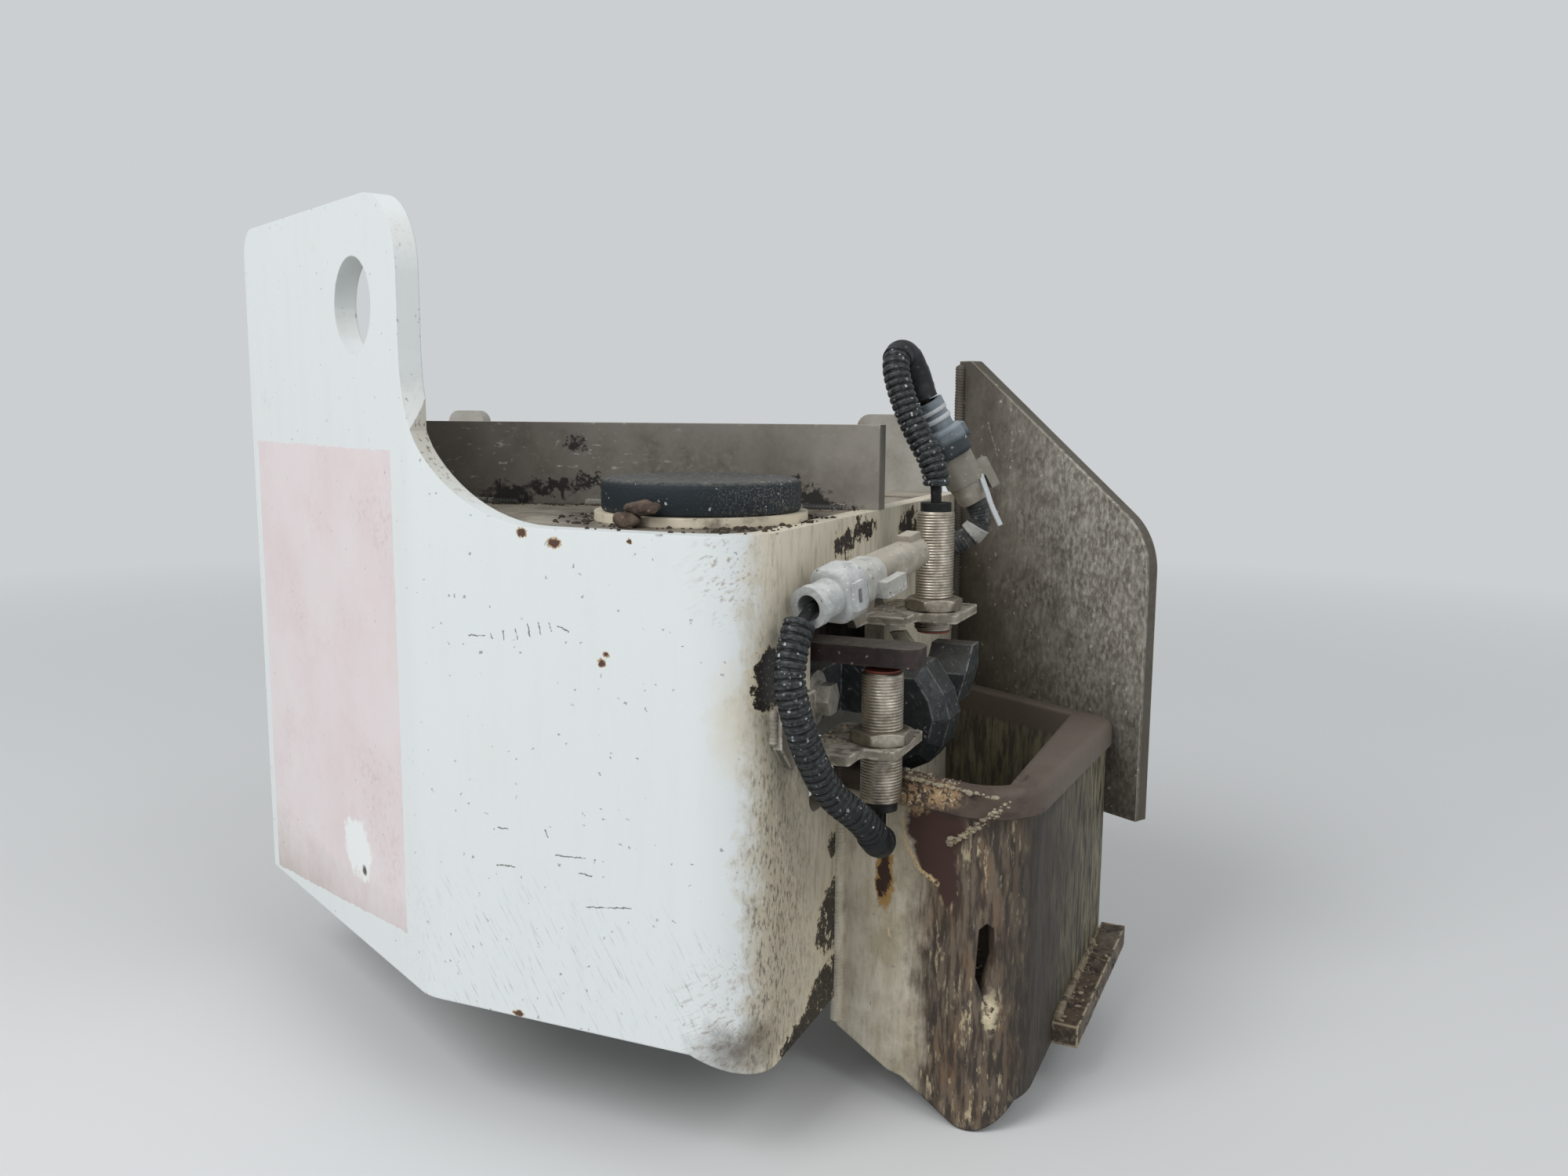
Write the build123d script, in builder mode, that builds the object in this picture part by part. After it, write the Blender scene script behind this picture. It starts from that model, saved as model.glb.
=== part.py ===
from build123d import *
import os
from math import acos, cos, degrees, hypot, radians, sin, tan

# Sensor guard off a refuse truck: a folded white plate with a lifting tab, a
# rubber pad on its deck, two proximity sensors that watch a trip lever, and a
# V-shaped catch pocket. Millimetres, +Z up, +X to the truck's front, +Y in
# towards the truck. The origin is the middle of the bolt holes on the back face.

# Guard plate
plate = 10.0
front_length = 154.0
left_length = 206.0
left_angle = 28.0
guard_drop = 208.0
guard_depth = 290.0
corner_radius = 28.0
left_bend_radius = 26.0
tab_rise = 137.0
tab_setback = 8.0
tab_sweep_radius = 70.0
tab_inner_corner = 34.0
tab_outer_corner = 14.0
tab_hole_radius = 21.0
tab_hole_along = 57.0
tab_hole_height = 91.0
side_drop = 220.0
side_drop_start = 26.0

# Where the guard stands from the middle of the bolt holes
side_x = 180.0
deck_z = 75.0

# Window in the side flange, and its carrier behind
window_start = 61.0
window_end = 158.0
window_top = -41.0
window_bottom = -124.0
window_corner = 8.0
carrier_plate = 6.0
carrier_reach = 26.0
carrier_height = 46.0
carrier_margin = 5.0

# Deck, back plate and the plates that stand on the deck
deck_plate_thickness = 8.0
back_plate_thickness = 8.0
back_length = 350.0
back_bottom = -150.0
back_top = 28.0
ear_top = 44.0
ear_right = 50.0
ear_left = 28.0
ear_corner = 8.0
bolt_spacing_x = 240.0
bolt_spacing_z = 90.0
bolt_hole_radius = 8.75
return_plate = 8.0
return_drop = 160.0
strap_thickness = 8.0
strap_height = 40.0
strap_depth = 147.0
strap_slant = 14.0

# Rubber pad
pad_x = -54.0
pad_depth = 68.0
pad_radius = 43.0
pad_height = 14.0
pad_edge = 2.5
seat_radius = 46.0
seat_height = 4.0

# Catch pocket
pocket_plate = 8.0
pocket_start = 98.0
pocket_fold_x = 89.0
pocket_fold_depth = 68.3
pocket_end_x = 100.0
pocket_fold_radius = 24.0
pocket_back_radius = 14.0
pocket_top = -108.0
pocket_foot = -235.0
pocket_tip = -272.0
pocket_rise = 25.0
pocket_rise_run = 18.0
pocket_back_foot = -240.0
lip_inner_x = 79.0
lip_height = 12.0
lip_swell = 2.5
lip_round = 4.0
lip_edge = 2.0
tear_across = -7.0
tear_outline = [(-3, -169), (0, -166), (3, -168), (4, -182), (-1, -198), (-4, -190)]
floor_thickness = 6.0
floor_level = -222.0
bar_width = 12.0
bar_height = 10.0
bar_start = 62.0
bar_climb = 13.0

# End plate behind the pocket
end_plate_thickness = 8.0
end_plate_setback = 5.0
end_plate_angle = 31.0
end_plate_length = 135.0
end_plate_top = 74.0
end_plate_crest = 9.0
end_plate_shoulder = -14.0
end_plate_bottom = -158.0
end_plate_radius = 34.0
end_plate_round = 3.4

# Sensors and their shelves
barrel_radius = 9.0
barrel_length = 57.0
barrel_chamfer = 0.8
face_radius = 7.6
face_height = 1.0
nut_flats = 24.0
nut_height = 6.0
boot_radius = 7.2
boot_height = 4.0
lead_radius = 2.5
sensor_x = 27.0
lower_depth = 76.0
lower_face = -60.5
upper_depth = 150.0
upper_face = -56.5
shelf_thickness = 4.0
lower_shelf_level = -92.0
upper_shelf_level = -46.0
shelf_waist = 23.0
shelf_near = 30.0
shelf_step = 15.0
shelf_far = 25.0
shelf_corner = 2.5
shelf_tab_height = 28.0
shelf_tab_width = 24.0
shelf_tab_corner = 11.0
lower_shelf_reach = 38.0
upper_shelf_reach = 42.0

# Trip lever and its pivot bolt
pivot_depth = 76.0
pivot_height = -76.0
pin_radius = 4.0
pin_clearance = 0.3
boss_radius = 12.0
boss_end = -5.0
boss_gap = 0.3
nose_near = 112.0
nose_far = 136.0
nose_inner = 6.0
nose_outline = [(33, -66), (42, -79), (45, -90), (42, -103), (36, -111), (24, -117)]
nose_bevel = 6.0
nose_heel = -106.0
flag_neck = 10.0
arm_top = -66.0
arm_bottom = -90.0
flag_near = 66.0
flag_far = 86.0
flag_bottom = -58.0
flag_thickness = 8.0
flag_start = -25.0
flag_end = 45.0
tip_near = 140.0
tip_far = 162.0
tip_inner = 26.0
tip_outer = 46.0
tip_top = -62.0
tip_bottom = -88.0
tip_taper = 4.0
tip_slope = 12.0
brace_outline = [(10, -56), (17, -55), (40, -84), (31, -87)]
washer_radius = 12.0
washer_height = 2.0
spring_radius = 7.4
spring_height = 2.2
head_flats = 13.0
head_height = 5.5

# Connector pairs and sleeves
collar_radius = 8.6
collar_length = 4.0
backshell_bore = 5.2
neck_radius = 8.0
neck_length = 10.0
hood_width = 20.0
hood_height = 23.0
hood_length = 15.0
hood_corner = 7.0
hood_round = 2.5
clip_width = 7.0
clip_height = 12.0
clip_start = 5.5
clip_slot = 2.4
clip_slot_height = 6.0
clip_lift = 1.6
clip_root = 3.0
plug_width = 18.0
plug_height = 17.0
plug_length = 15.0
plug_corner = 6.0
socket_width = 16.5
socket_height = 15.5
socket_corner = 5.5
socket_draw = 2.4
latch_width = 4.5
latch_height = 7.0
latch_length = 15.0
latch_low = 3.0
latch_root = 3.0
rail_width = 7.0
rail_height = 1.6
rail_length = 9.0
sleeve_radius = 6.4
tail_radius = 5.5
tail_straight = 10.0
tail_hole_radius = 7.0
tail_depth = 184.0
tail_level = -22.0
lead_socket = 12.0
sleeve_bore = 4.6
sleeve_share = 0.2
sleeve_end_share = 0.5
lead_straight = 4.0
bend_share = 0.45

# Mouth and far end of each connector pair, and the leads' points, from the
# guard's outer top corner
lower_pair = ((11, 31, -29.4), (30, 109, -14.2))
upper_pair = ((13.4, 174, 50.3), (35.5, 188, 3.3))
lower_route = [
    (9, 14.5, -49.7),
    (11.5, 14.5, -64.5),
    (14, 23, -84.5),
    (19, 34.5, -105),
    (29, 47, -117.3),
    (31.5, 63, -133.5),
    (27, 76, -132.5),
]
upper_route = [
    (27, 150, 20),
    (16, 150, 38),
    (8, 151, 56),
    (3.5, 155, 70),
    (4.5, 169, 75),
    (10, 174, 61),
]
tail_route = [
    (34, 188.5, -14.5),
    (22, 185.5, -21),
    (6, 184, -22),
    (-14, 184, -22),
]

deck = Plane(origin=(side_x, -guard_depth, deck_z))
front = Plane(origin=deck.origin, x_dir=(1, 0, 0), z_dir=(0, -1, 0))
side = Plane(origin=deck.origin, x_dir=(0, 1, 0), z_dir=(1, 0, 0))
end_plate_depth = guard_depth - end_plate_setback
pocket_end_depth = end_plate_depth - pocket_end_x * tan(radians(end_plate_angle))
left_run = (-cos(radians(left_angle)), sin(radians(left_angle)))
left_end = (
    -front_length + left_length * left_run[0],
    left_length * left_run[1],
)


def place(x, depth, height):
    """A point measured from the guard's outer top corner."""
    return deck.origin + Vector(x, depth, height)


def inner_left(x):
    """Depth of the left section's inner face at x."""
    return plate / cos(radians(left_angle)) - (x + front_length) * tan(radians(left_angle))


def between(start, finish, share):
    """A point part of the way from one point to another."""
    return start + (finish - start) * share


def along(start, direction):
    """A plane at a point, its normal along a direction, its x level."""
    level = Vector(0, 0, 1).cross(direction).normalized()
    return Plane(origin=start, x_dir=level, z_dir=direction)


os.makedirs("parts", exist_ok=True)
finished = []


def keep(part, name):
    part.label = name
    finished.append(part)
    export_step(part, f"parts/{name}.step")


# Folded guard plate: left section, front and side flange from one sheet
tab_plane = Plane(
    origin=place(-front_length, 0, 0),
    x_dir=(left_run[0], left_run[1], 0),
    z_dir=(left_run[1], -left_run[0], 0),
)
sweep_middle = tab_sweep_radius - tab_setback
sweep_angle = degrees(acos(sweep_middle / tab_sweep_radius))
sweep_fold = tab_sweep_radius * (1 - sin(radians(sweep_angle)))

with BuildPart() as guard_plate:
    with BuildSketch(deck.offset(-side_drop)):
        with BuildLine():
            FilletPolyline(
                left_end,
                (-front_length, 0),
                (0, 0),
                (0, guard_depth),
                radius=[left_bend_radius, corner_radius],
            )
            offset(amount=plate, side=Side.LEFT)
        make_face()
    extrude(amount=side_drop + tab_rise)
    # The top falls from the tab in one sweep to the deck, across the bend
    with BuildSketch(front):
        with BuildLine():
            CenterArc(
                (-front_length + sweep_middle, tab_sweep_radius),
                tab_sweep_radius,
                180 + sweep_angle,
                90 - sweep_angle,
            )
            Polyline(
                (-front_length + sweep_middle, 0),
                (plate, 0),
                (plate, tab_rise + plate),
                (-front_length, tab_rise + plate),
                (-front_length, sweep_fold),
            )
        make_face()
    extrude(amount=guard_depth + plate, both=True, mode=Mode.SUBTRACT)
    with BuildSketch(tab_plane):
        with BuildLine():
            FilletPolyline(
                (left_length, 0),
                (left_length, tab_rise),
                (tab_setback, tab_rise),
                (tab_setback, tab_sweep_radius),
                radius=[tab_outer_corner, tab_inner_corner],
            )
            CenterArc((-sweep_middle, tab_sweep_radius), tab_sweep_radius, 0, -sweep_angle)
            Polyline(
                (0, sweep_fold),
                (0, tab_rise + plate),
                (left_length + plate, tab_rise + plate),
                (left_length + plate, 0),
                (left_length, 0),
            )
        make_face()
        with Locations((tab_hole_along, tab_hole_height)):
            Circle(tab_hole_radius)
    extrude(amount=2 * plate, both=True, mode=Mode.SUBTRACT)
    # The bottom edge dips a little at the side flange
    with BuildSketch(front):
        Polygon(
            (left_end[0] - plate, -guard_drop),
            (-side_drop_start, -guard_drop),
            (0, -side_drop),
            (0, -side_drop - plate),
            (left_end[0] - plate, -side_drop - plate),
            align=None,
        )
    extrude(amount=guard_depth + plate, both=True, mode=Mode.SUBTRACT)
    with BuildSketch(side):
        with Locations(
            ((window_start + window_end) / 2, (window_top + window_bottom) / 2)
        ):
            RectangleRounded(
                window_end - window_start, window_top - window_bottom, window_corner
            )
        with Locations((tail_depth, tail_level)):
            Circle(tail_hole_radius)
    extrude(amount=plate + corner_radius / 2, both=True, mode=Mode.SUBTRACT)
keep(guard_plate.part, "guard_plate")

# Hidden end of the box, from the left section back to the back plate
with BuildPart() as left_return:
    with BuildSketch(deck.offset(-return_drop)):
        Polygon(
            (left_end[0] + return_plate, inner_left(left_end[0] + return_plate)),
            (left_end[0] + return_plate, guard_depth - back_plate_thickness),
            (left_end[0], guard_depth - back_plate_thickness),
            (left_end[0], inner_left(left_end[0])),
            align=None,
        )
    extrude(amount=return_drop - deck_plate_thickness)
keep(left_return.part, "left_return")

# Deck inside the guard's fold, flush with its top edge
with BuildPart() as deck_plate:
    with BuildSketch(deck.offset(-deck_plate_thickness)):
        with BuildLine():
            inner_fold = -front_length + plate * tan(radians(left_angle / 2))
            inner_end = left_end[0]
            FilletPolyline(
                (inner_end, inner_left(inner_end)),
                (inner_fold, plate),
                (-plate, plate),
                (-plate, guard_depth - back_plate_thickness),
                radius=[left_bend_radius - plate, corner_radius - plate],
            )
            Polyline(
                (-plate, guard_depth - back_plate_thickness),
                (inner_end, guard_depth - back_plate_thickness),
                (inner_end, inner_left(inner_end)),
            )
        make_face()
    extrude(amount=deck_plate_thickness)
keep(deck_plate.part, "deck_plate")

# Back plate with two ears above the deck and four bolt holes
with BuildPart() as back_plate:
    with BuildSketch(front.offset(-guard_depth)):
        with BuildLine():
            FilletPolyline(
                (-plate, back_bottom),
                (-plate, ear_top),
                (-plate - ear_right, ear_top),
                (-plate - ear_right, back_top),
                (-back_length + ear_left, back_top),
                (-back_length + ear_left, ear_top),
                (-back_length, ear_top),
                (-back_length, back_bottom),
                radius=ear_corner,
            )
            Line((-back_length, back_bottom), (-plate, back_bottom))
        make_face()
        with Locations((-side_x, -deck_z)):
            with GridLocations(bolt_spacing_x, bolt_spacing_z, 2, 2):
                Circle(bolt_hole_radius, mode=Mode.SUBTRACT)
    extrude(amount=back_plate_thickness)
keep(back_plate.part, "back_plate")

# Strap plate across the deck, a little askew
strap_run = (cos(radians(strap_slant)), sin(radians(strap_slant)))


def strap_line(x, extra=0):
    """Depth of the strap plate's front face at x, or of a face behind it."""
    return strap_depth + x * tan(radians(strap_slant)) + extra / strap_run[0]


def strap_left(extra):
    """Where a face of the strap plate meets the left section inside."""
    slope = -tan(radians(left_angle))
    reach = inner_left(0) - strap_line(0, extra)
    return reach / (tan(radians(strap_slant)) - slope)


with BuildPart() as strap_plate:
    with BuildSketch(deck):
        strap_back = strap_left(strap_thickness)
        strap_front = strap_left(0)
        Polygon(
            (strap_front, strap_line(strap_front)),
            (0, strap_line(0)),
            (0, strap_line(0, strap_thickness)),
            (strap_back, strap_line(strap_back, strap_thickness)),
            align=None,
        )
    extrude(amount=strap_height)
keep(strap_plate.part, "strap_plate")

# Rubber pad on its seat
with BuildPart() as pad_seat:
    with BuildSketch(deck):
        with Locations((pad_x, pad_depth)):
            Circle(seat_radius)
    extrude(amount=seat_height)
keep(pad_seat.part, "pad_seat")

with BuildPart() as rubber_pad:
    with BuildSketch(deck.offset(seat_height)):
        with Locations((pad_x, pad_depth)):
            Circle(pad_radius)
    extrude(amount=pad_height)
    fillet(rubber_pad.faces().sort_by(Axis.Z)[-1].edges(), pad_edge)
keep(rubber_pad.part, "rubber_pad")

# End plate behind the pocket, turned away from the side flange
end_run = (cos(radians(end_plate_angle)), -sin(radians(end_plate_angle)))
end_plane = Plane(
    origin=place(0, end_plate_depth, 0),
    x_dir=(end_run[0], end_run[1], 0),
    z_dir=(end_run[1], -end_run[0], 0),
)
with BuildPart() as end_plate:
    with BuildSketch(end_plane):
        with BuildLine():
            FilletPolyline(
                (end_plate_length, end_plate_bottom),
                (end_plate_length, end_plate_shoulder),
                (end_plate_crest, end_plate_top),
                (0, end_plate_top),
                radius=[end_plate_radius, end_plate_round],
            )
            Polyline(
                (0, end_plate_top),
                (0, end_plate_bottom),
                (end_plate_length, end_plate_bottom),
            )
        make_face()
    extrude(amount=-end_plate_thickness)
    # Its near end is cut square to lie on the side flange and the back face
    with BuildSketch(deck.offset(end_plate_bottom)):
        Rectangle(guard_depth, 2 * guard_depth, align=(Align.MAX, Align.CENTER))
        with Locations((0, guard_depth)):
            Rectangle(guard_depth, guard_depth, align=(Align.CENTER, Align.MIN))
    extrude(amount=end_plate_top - end_plate_bottom, mode=Mode.SUBTRACT)
keep(end_plate.part, "end_plate")

# Catch pocket: one plate folded into a V and back along the end plate
pocket_run = Vector(
    pocket_end_x - pocket_fold_x, pocket_end_depth - pocket_fold_depth
).normalized()
near_run = Vector(pocket_fold_x, pocket_fold_depth - pocket_start).normalized()
fold_out = (near_run - pocket_run).normalized()
pocket_points = [
    (-plate, pocket_start - plate * near_run.Y / near_run.X),
    (pocket_fold_x, pocket_fold_depth),
    (pocket_end_x, pocket_end_depth),
    (-plate, end_plate_depth + plate * tan(radians(end_plate_angle))),
]


def pocket_line():
    """The outer face of the pocket's plate, seen from above."""
    return FilletPolyline(
        *pocket_points, radius=[pocket_fold_radius, pocket_back_radius]
    )


with BuildPart() as pocket_rim:
    # A rolled rim along the top, swollen outside and wide on the right wall
    with BuildSketch(deck.offset(pocket_top)):
        with BuildLine():
            pocket_line()
            Line(pocket_points[-1], pocket_points[0])
        make_face()
        offset(amount=lip_swell)
        with BuildSketch(mode=Mode.SUBTRACT):
            with BuildLine():
                pocket_line()
                Line(pocket_points[-1], pocket_points[0])
            make_face()
            offset(amount=-pocket_plate)
            with Locations((lip_inner_x, 0)):
                Rectangle(
                    pocket_end_x,
                    2 * guard_depth,
                    align=(Align.MIN, Align.CENTER),
                    mode=Mode.SUBTRACT,
                )
    extrude(amount=-lip_height)
    fillet(pocket_rim.faces().sort_by(Axis.Z)[-1].outer_wire().edges(), lip_round)
    fillet(pocket_rim.faces().sort_by(Axis.Z)[-1].inner_wires().edges(), lip_edge)

with BuildPart() as pocket_wall:
    with BuildSketch(deck.offset(pocket_tip)):
        with BuildLine():
            pocket_line()
            offset(amount=pocket_plate, side=Side.LEFT)
        make_face()
    extrude(amount=pocket_top - lip_height - pocket_tip)
    add(pocket_rim.part)
    # The foot drops along the near wall to the fold and climbs behind it
    with BuildSketch(front):
        Polygon(
            (0, pocket_foot),
            (pocket_fold_x, pocket_tip),
            (0, pocket_tip),
            align=None,
        )
    extrude(amount=pocket_end_depth, both=True, mode=Mode.SUBTRACT)
    with BuildSketch(side):
        Polygon(
            (pocket_fold_depth, pocket_tip),
            (pocket_fold_depth + pocket_rise_run, pocket_tip + pocket_rise),
            (pocket_fold_depth + bar_start, pocket_back_foot),
            (pocket_end_depth, pocket_back_foot + bar_climb),
            (pocket_end_depth + plate, pocket_back_foot + bar_climb),
            (pocket_end_depth + plate, pocket_tip),
            align=None,
        )
    extrude(amount=2 * pocket_end_x, both=True, mode=Mode.SUBTRACT)
    # The wall along the end plate goes no lower than the floor
    with BuildSketch(front.offset(-pocket_end_depth)):
        with Locations((0, floor_level)):
            Rectangle(
                pocket_end_x - pocket_back_radius,
                floor_level - pocket_tip,
                align=(Align.MIN, Align.MAX),
            )
    extrude(amount=-guard_depth, mode=Mode.SUBTRACT)
    # A chain has worn a tear through the fold
    with BuildSketch(
        Plane(
            origin=place(pocket_fold_x, pocket_fold_depth, 0),
            x_dir=(-fold_out.Y, fold_out.X, 0),
            z_dir=(fold_out.X, fold_out.Y, 0),
        )
    ):
        with Locations((tear_across, 0)):
            Polygon(*tear_outline, align=None)
    extrude(amount=-pocket_fold_radius - pocket_plate, mode=Mode.SUBTRACT)
    # Its ends are cut to lie on the side flange and on the end plate
    with BuildSketch(deck.offset(pocket_tip)):
        Rectangle(guard_depth, 2 * guard_depth, align=(Align.MAX, Align.MIN))
        Polygon(
            (0, end_plate_depth),
            (end_run[0] * end_plate_depth, end_plate_depth + end_run[1] * end_plate_depth),
            (end_run[0] * end_plate_depth, 2 * end_plate_depth),
            (0, 2 * end_plate_depth),
            align=None,
        )
    extrude(amount=pocket_top - pocket_tip, mode=Mode.SUBTRACT)
keep(pocket_wall.part, "pocket_wall")

# Floor plate inside the pocket
with BuildPart() as pocket_floor:
    with BuildSketch(deck.offset(floor_level)):
        with BuildLine():
            pocket_line()
            Line(pocket_points[-1], pocket_points[0])
        make_face()
        Rectangle(
            guard_depth,
            2 * guard_depth,
            align=(Align.MAX, Align.MIN),
            mode=Mode.SUBTRACT,
        )
    extrude(amount=floor_thickness)
    add(pocket_wall.part, mode=Mode.SUBTRACT)
keep(pocket_floor.part, "pocket_floor")

# Flat bar welded along the rising foot of the right wall
with BuildPart() as pocket_bar:
    bar_end = hypot(pocket_end_x - pocket_fold_x, pocket_end_depth - pocket_fold_depth)
    with BuildSketch(
        Plane(
            origin=place(pocket_fold_x, pocket_fold_depth, pocket_back_foot),
            x_dir=(pocket_run.X, pocket_run.Y, 0),
            z_dir=(pocket_run.Y, -pocket_run.X, 0),
        )
    ):
        Polygon(
            (bar_start, 0),
            (bar_end, bar_climb),
            (bar_end, bar_climb + bar_height),
            (bar_start, bar_height),
            align=None,
        )
    extrude(amount=bar_width)
keep(pocket_bar.part, "pocket_bar")


def shelf(depth, level, reach, name):
    """Stepped sheet that holds one sensor, with a tab up the side flange."""
    with BuildPart() as sheet:
        with BuildSketch(deck.offset(level - shelf_thickness)) as outline:
            Polygon(
                (0, depth - shelf_near),
                (shelf_waist, depth - shelf_near),
                (shelf_waist, depth - shelf_near + shelf_step),
                (reach, depth - shelf_near + shelf_step),
                (reach, depth + shelf_far),
                (0, depth + shelf_far),
                align=None,
            )
            fillet(outline.vertices().sort_by(Axis.X)[2:], shelf_corner)
            with Locations((sensor_x, depth)):
                Circle(barrel_radius, mode=Mode.SUBTRACT)
        extrude(amount=shelf_thickness)
        with BuildSketch(side):
            with Locations((depth - shelf_near, level - shelf_thickness)):
                Polygon(
                    (shelf_tab_corner, 0),
                    (shelf_tab_corner, shelf_tab_height),
                    (-shelf_tab_width, shelf_tab_height),
                    (-shelf_tab_width, shelf_tab_corner),
                    (shelf_tab_corner - shelf_tab_width, 0),
                    align=None,
                )
        extrude(amount=shelf_thickness)
    keep(sheet.part, name)


def sensor(prefix, depth, face, way, shelf_level):
    """Threaded barrel, sensing face, jam nut and boot; way is where it looks."""
    with BuildPart() as barrel:
        with BuildSketch(deck.offset(face - way * face_height)):
            with Locations((sensor_x, depth)):
                Circle(barrel_radius)
        extrude(amount=-way * (barrel_length - face_height))
        chamfer(barrel.edges().filter_by(GeomType.CIRCLE), barrel_chamfer)
    keep(barrel.part, f"{prefix}_sensor")
    with BuildPart() as cap:
        with BuildSketch(deck.offset(face)):
            with Locations((sensor_x, depth)):
                Circle(face_radius)
        extrude(amount=-way * face_height)
    keep(cap.part, f"{prefix}_sensor_face")
    with BuildPart() as nut:
        with BuildSketch(deck.offset(shelf_level)):
            with Locations((sensor_x, depth)):
                RegularPolygon(nut_flats / 2, 6, major_radius=False)
                Circle(barrel_radius, mode=Mode.SUBTRACT)
        extrude(amount=nut_height)
    keep(nut.part, f"{prefix}_nut")
    with BuildPart() as boot:
        with BuildSketch(deck.offset(face - way * barrel_length)):
            with Locations((sensor_x, depth)):
                Circle(boot_radius)
        extrude(amount=-way * boot_height)
    keep(boot.part, f"{prefix}_boot")


shelf(lower_depth, lower_shelf_level, lower_shelf_reach, "lower_shelf")
shelf(upper_depth, upper_shelf_level, upper_shelf_reach, "upper_shelf")
sensor("lower", lower_depth, lower_face, 1, lower_shelf_level)
sensor("upper", upper_depth, upper_face, -1, upper_shelf_level)

# U-shaped carrier welded behind the window, for the pivot bolt
carrier_front = -plate - carrier_reach + carrier_plate
with BuildPart() as pivot_carrier:
    with BuildSketch(deck.offset(pivot_height - carrier_height / 2)):
        carrier_middle = (window_start + window_end) / 2
        carrier_inside = window_end - window_start + 2 * carrier_margin
        with Locations((-plate, carrier_middle)):
            Rectangle(
                carrier_reach,
                carrier_inside + 2 * carrier_plate,
                align=(Align.MAX, Align.CENTER),
            )
            Rectangle(
                carrier_reach - carrier_plate,
                carrier_inside,
                align=(Align.MAX, Align.CENTER),
                mode=Mode.SUBTRACT,
            )
    extrude(amount=carrier_height)
    with BuildSketch(side):
        with Locations((pivot_depth, pivot_height)):
            Circle(pin_radius)
    extrude(amount=-2 * carrier_reach, mode=Mode.SUBTRACT)
keep(pivot_carrier.part, "pivot_carrier")

# Pivot bolt with its washers, and the nut behind the carrier
washer_end = boss_end + boss_gap + washer_height
spring_end = washer_end + spring_height
with BuildPart() as pivot_bolt:
    with BuildSketch(side.offset(spring_end)):
        with Locations((pivot_depth, pivot_height)):
            RegularPolygon(head_flats / 2, 6, major_radius=False)
    extrude(amount=head_height)
    with BuildSketch(side.offset(spring_end)):
        with Locations((pivot_depth, pivot_height)):
            Circle(pin_radius)
    extrude(amount=carrier_front - carrier_plate - nut_height - spring_end)
keep(pivot_bolt.part, "pivot_bolt")

for name, start, radius, height in [
    ("flat_washer", boss_end + boss_gap, washer_radius, washer_height),
    ("spring_washer", washer_end, spring_radius, spring_height),
]:
    with BuildPart() as washer:
        with BuildSketch(side.offset(start)):
            with Locations((pivot_depth, pivot_height)):
                Circle(radius)
                Circle(pin_radius, mode=Mode.SUBTRACT)
        extrude(amount=height)
    keep(washer.part, name)

with BuildPart() as pivot_nut:
    with BuildSketch(side.offset(carrier_front - carrier_plate)):
        with Locations((pivot_depth, pivot_height)):
            RegularPolygon(head_flats / 2, 6, major_radius=False)
            Circle(pin_radius, mode=Mode.SUBTRACT)
    extrude(amount=-nut_height)
keep(pivot_nut.part, "pivot_nut")

# Trip lever: one casting with a boss, an arm through the window and a nose
boss_start = carrier_front + boss_gap
with BuildPart() as trip_lever:
    with BuildSketch(front.offset(-nose_near)):
        Polygon(
            (nose_inner, nose_outline[0][1]),
            *nose_outline,
            (nose_inner, nose_heel),
            align=None,
        )
    extrude(amount=nose_near - nose_far)
    # Broad bevels round the nose's near face, but not along the arm
    chamfer(trip_lever.faces().sort_by(Axis.Y)[0].edges().sort_by(Axis.X)[1:], nose_bevel)
    with BuildSketch(side.offset(boss_start)):
        with Locations((pivot_depth, pivot_height)):
            Circle(boss_radius)
        Polygon(
            (pivot_depth, arm_top),
            (nose_far, arm_top),
            (nose_far, arm_bottom),
            (pivot_depth, pivot_height - boss_radius),
            align=None,
        )
        with Locations(((flag_near + flag_far) / 2, flag_bottom)):
            Rectangle(
                flag_neck,
                flag_bottom - pivot_height,
                align=(Align.CENTER, Align.MAX),
            )
    extrude(amount=boss_end - boss_start)
    with BuildSketch(side.offset(boss_end)):
        Polygon(
            (nose_near, arm_top),
            (nose_far, arm_top),
            (nose_far, arm_bottom),
            (nose_near, arm_bottom),
            align=None,
        )
    extrude(amount=nose_inner - boss_end)
    with BuildSketch(side):
        with Locations((pivot_depth, pivot_height)):
            Circle(pin_radius + pin_clearance)
    extrude(amount=-2 * carrier_reach, mode=Mode.SUBTRACT)
keep(trip_lever.part, "trip_lever")

with BuildPart() as lever_flag:
    with BuildSketch(deck.offset(flag_bottom)):
        Polygon(
            (flag_start, flag_near),
            (flag_end, flag_near),
            (flag_end, flag_far),
            (flag_start, flag_far),
            align=None,
        )
    extrude(amount=flag_thickness)
    fillet(lever_flag.edges().filter_by(Axis.Z).group_by(Axis.X)[-1], flag_thickness)
keep(lever_flag.part, "lever_flag")

with BuildPart() as lever_brace:
    with BuildSketch(front.offset(-nose_far)):
        Polygon(*brace_outline, align=None)
    extrude(amount=nose_far - tip_near)
keep(lever_brace.part, "lever_brace")

with BuildPart() as lever_tip:
    with BuildSketch(front.offset(-tip_near)):
        Polygon(
            (tip_inner, tip_top),
            (tip_outer, tip_top),
            (tip_outer, tip_top - tip_slope),
            (tip_outer - tip_taper, tip_bottom),
            (tip_inner + tip_taper, tip_bottom),
            (tip_inner, tip_top - tip_slope),
            align=None,
        )
    extrude(amount=tip_near - tip_far)
    chamfer(lever_tip.faces().sort_by(Axis.Z)[-1].edges().sort_by(Axis.Y)[0], tip_slope)
keep(lever_tip.part, "lever_tip")


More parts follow.
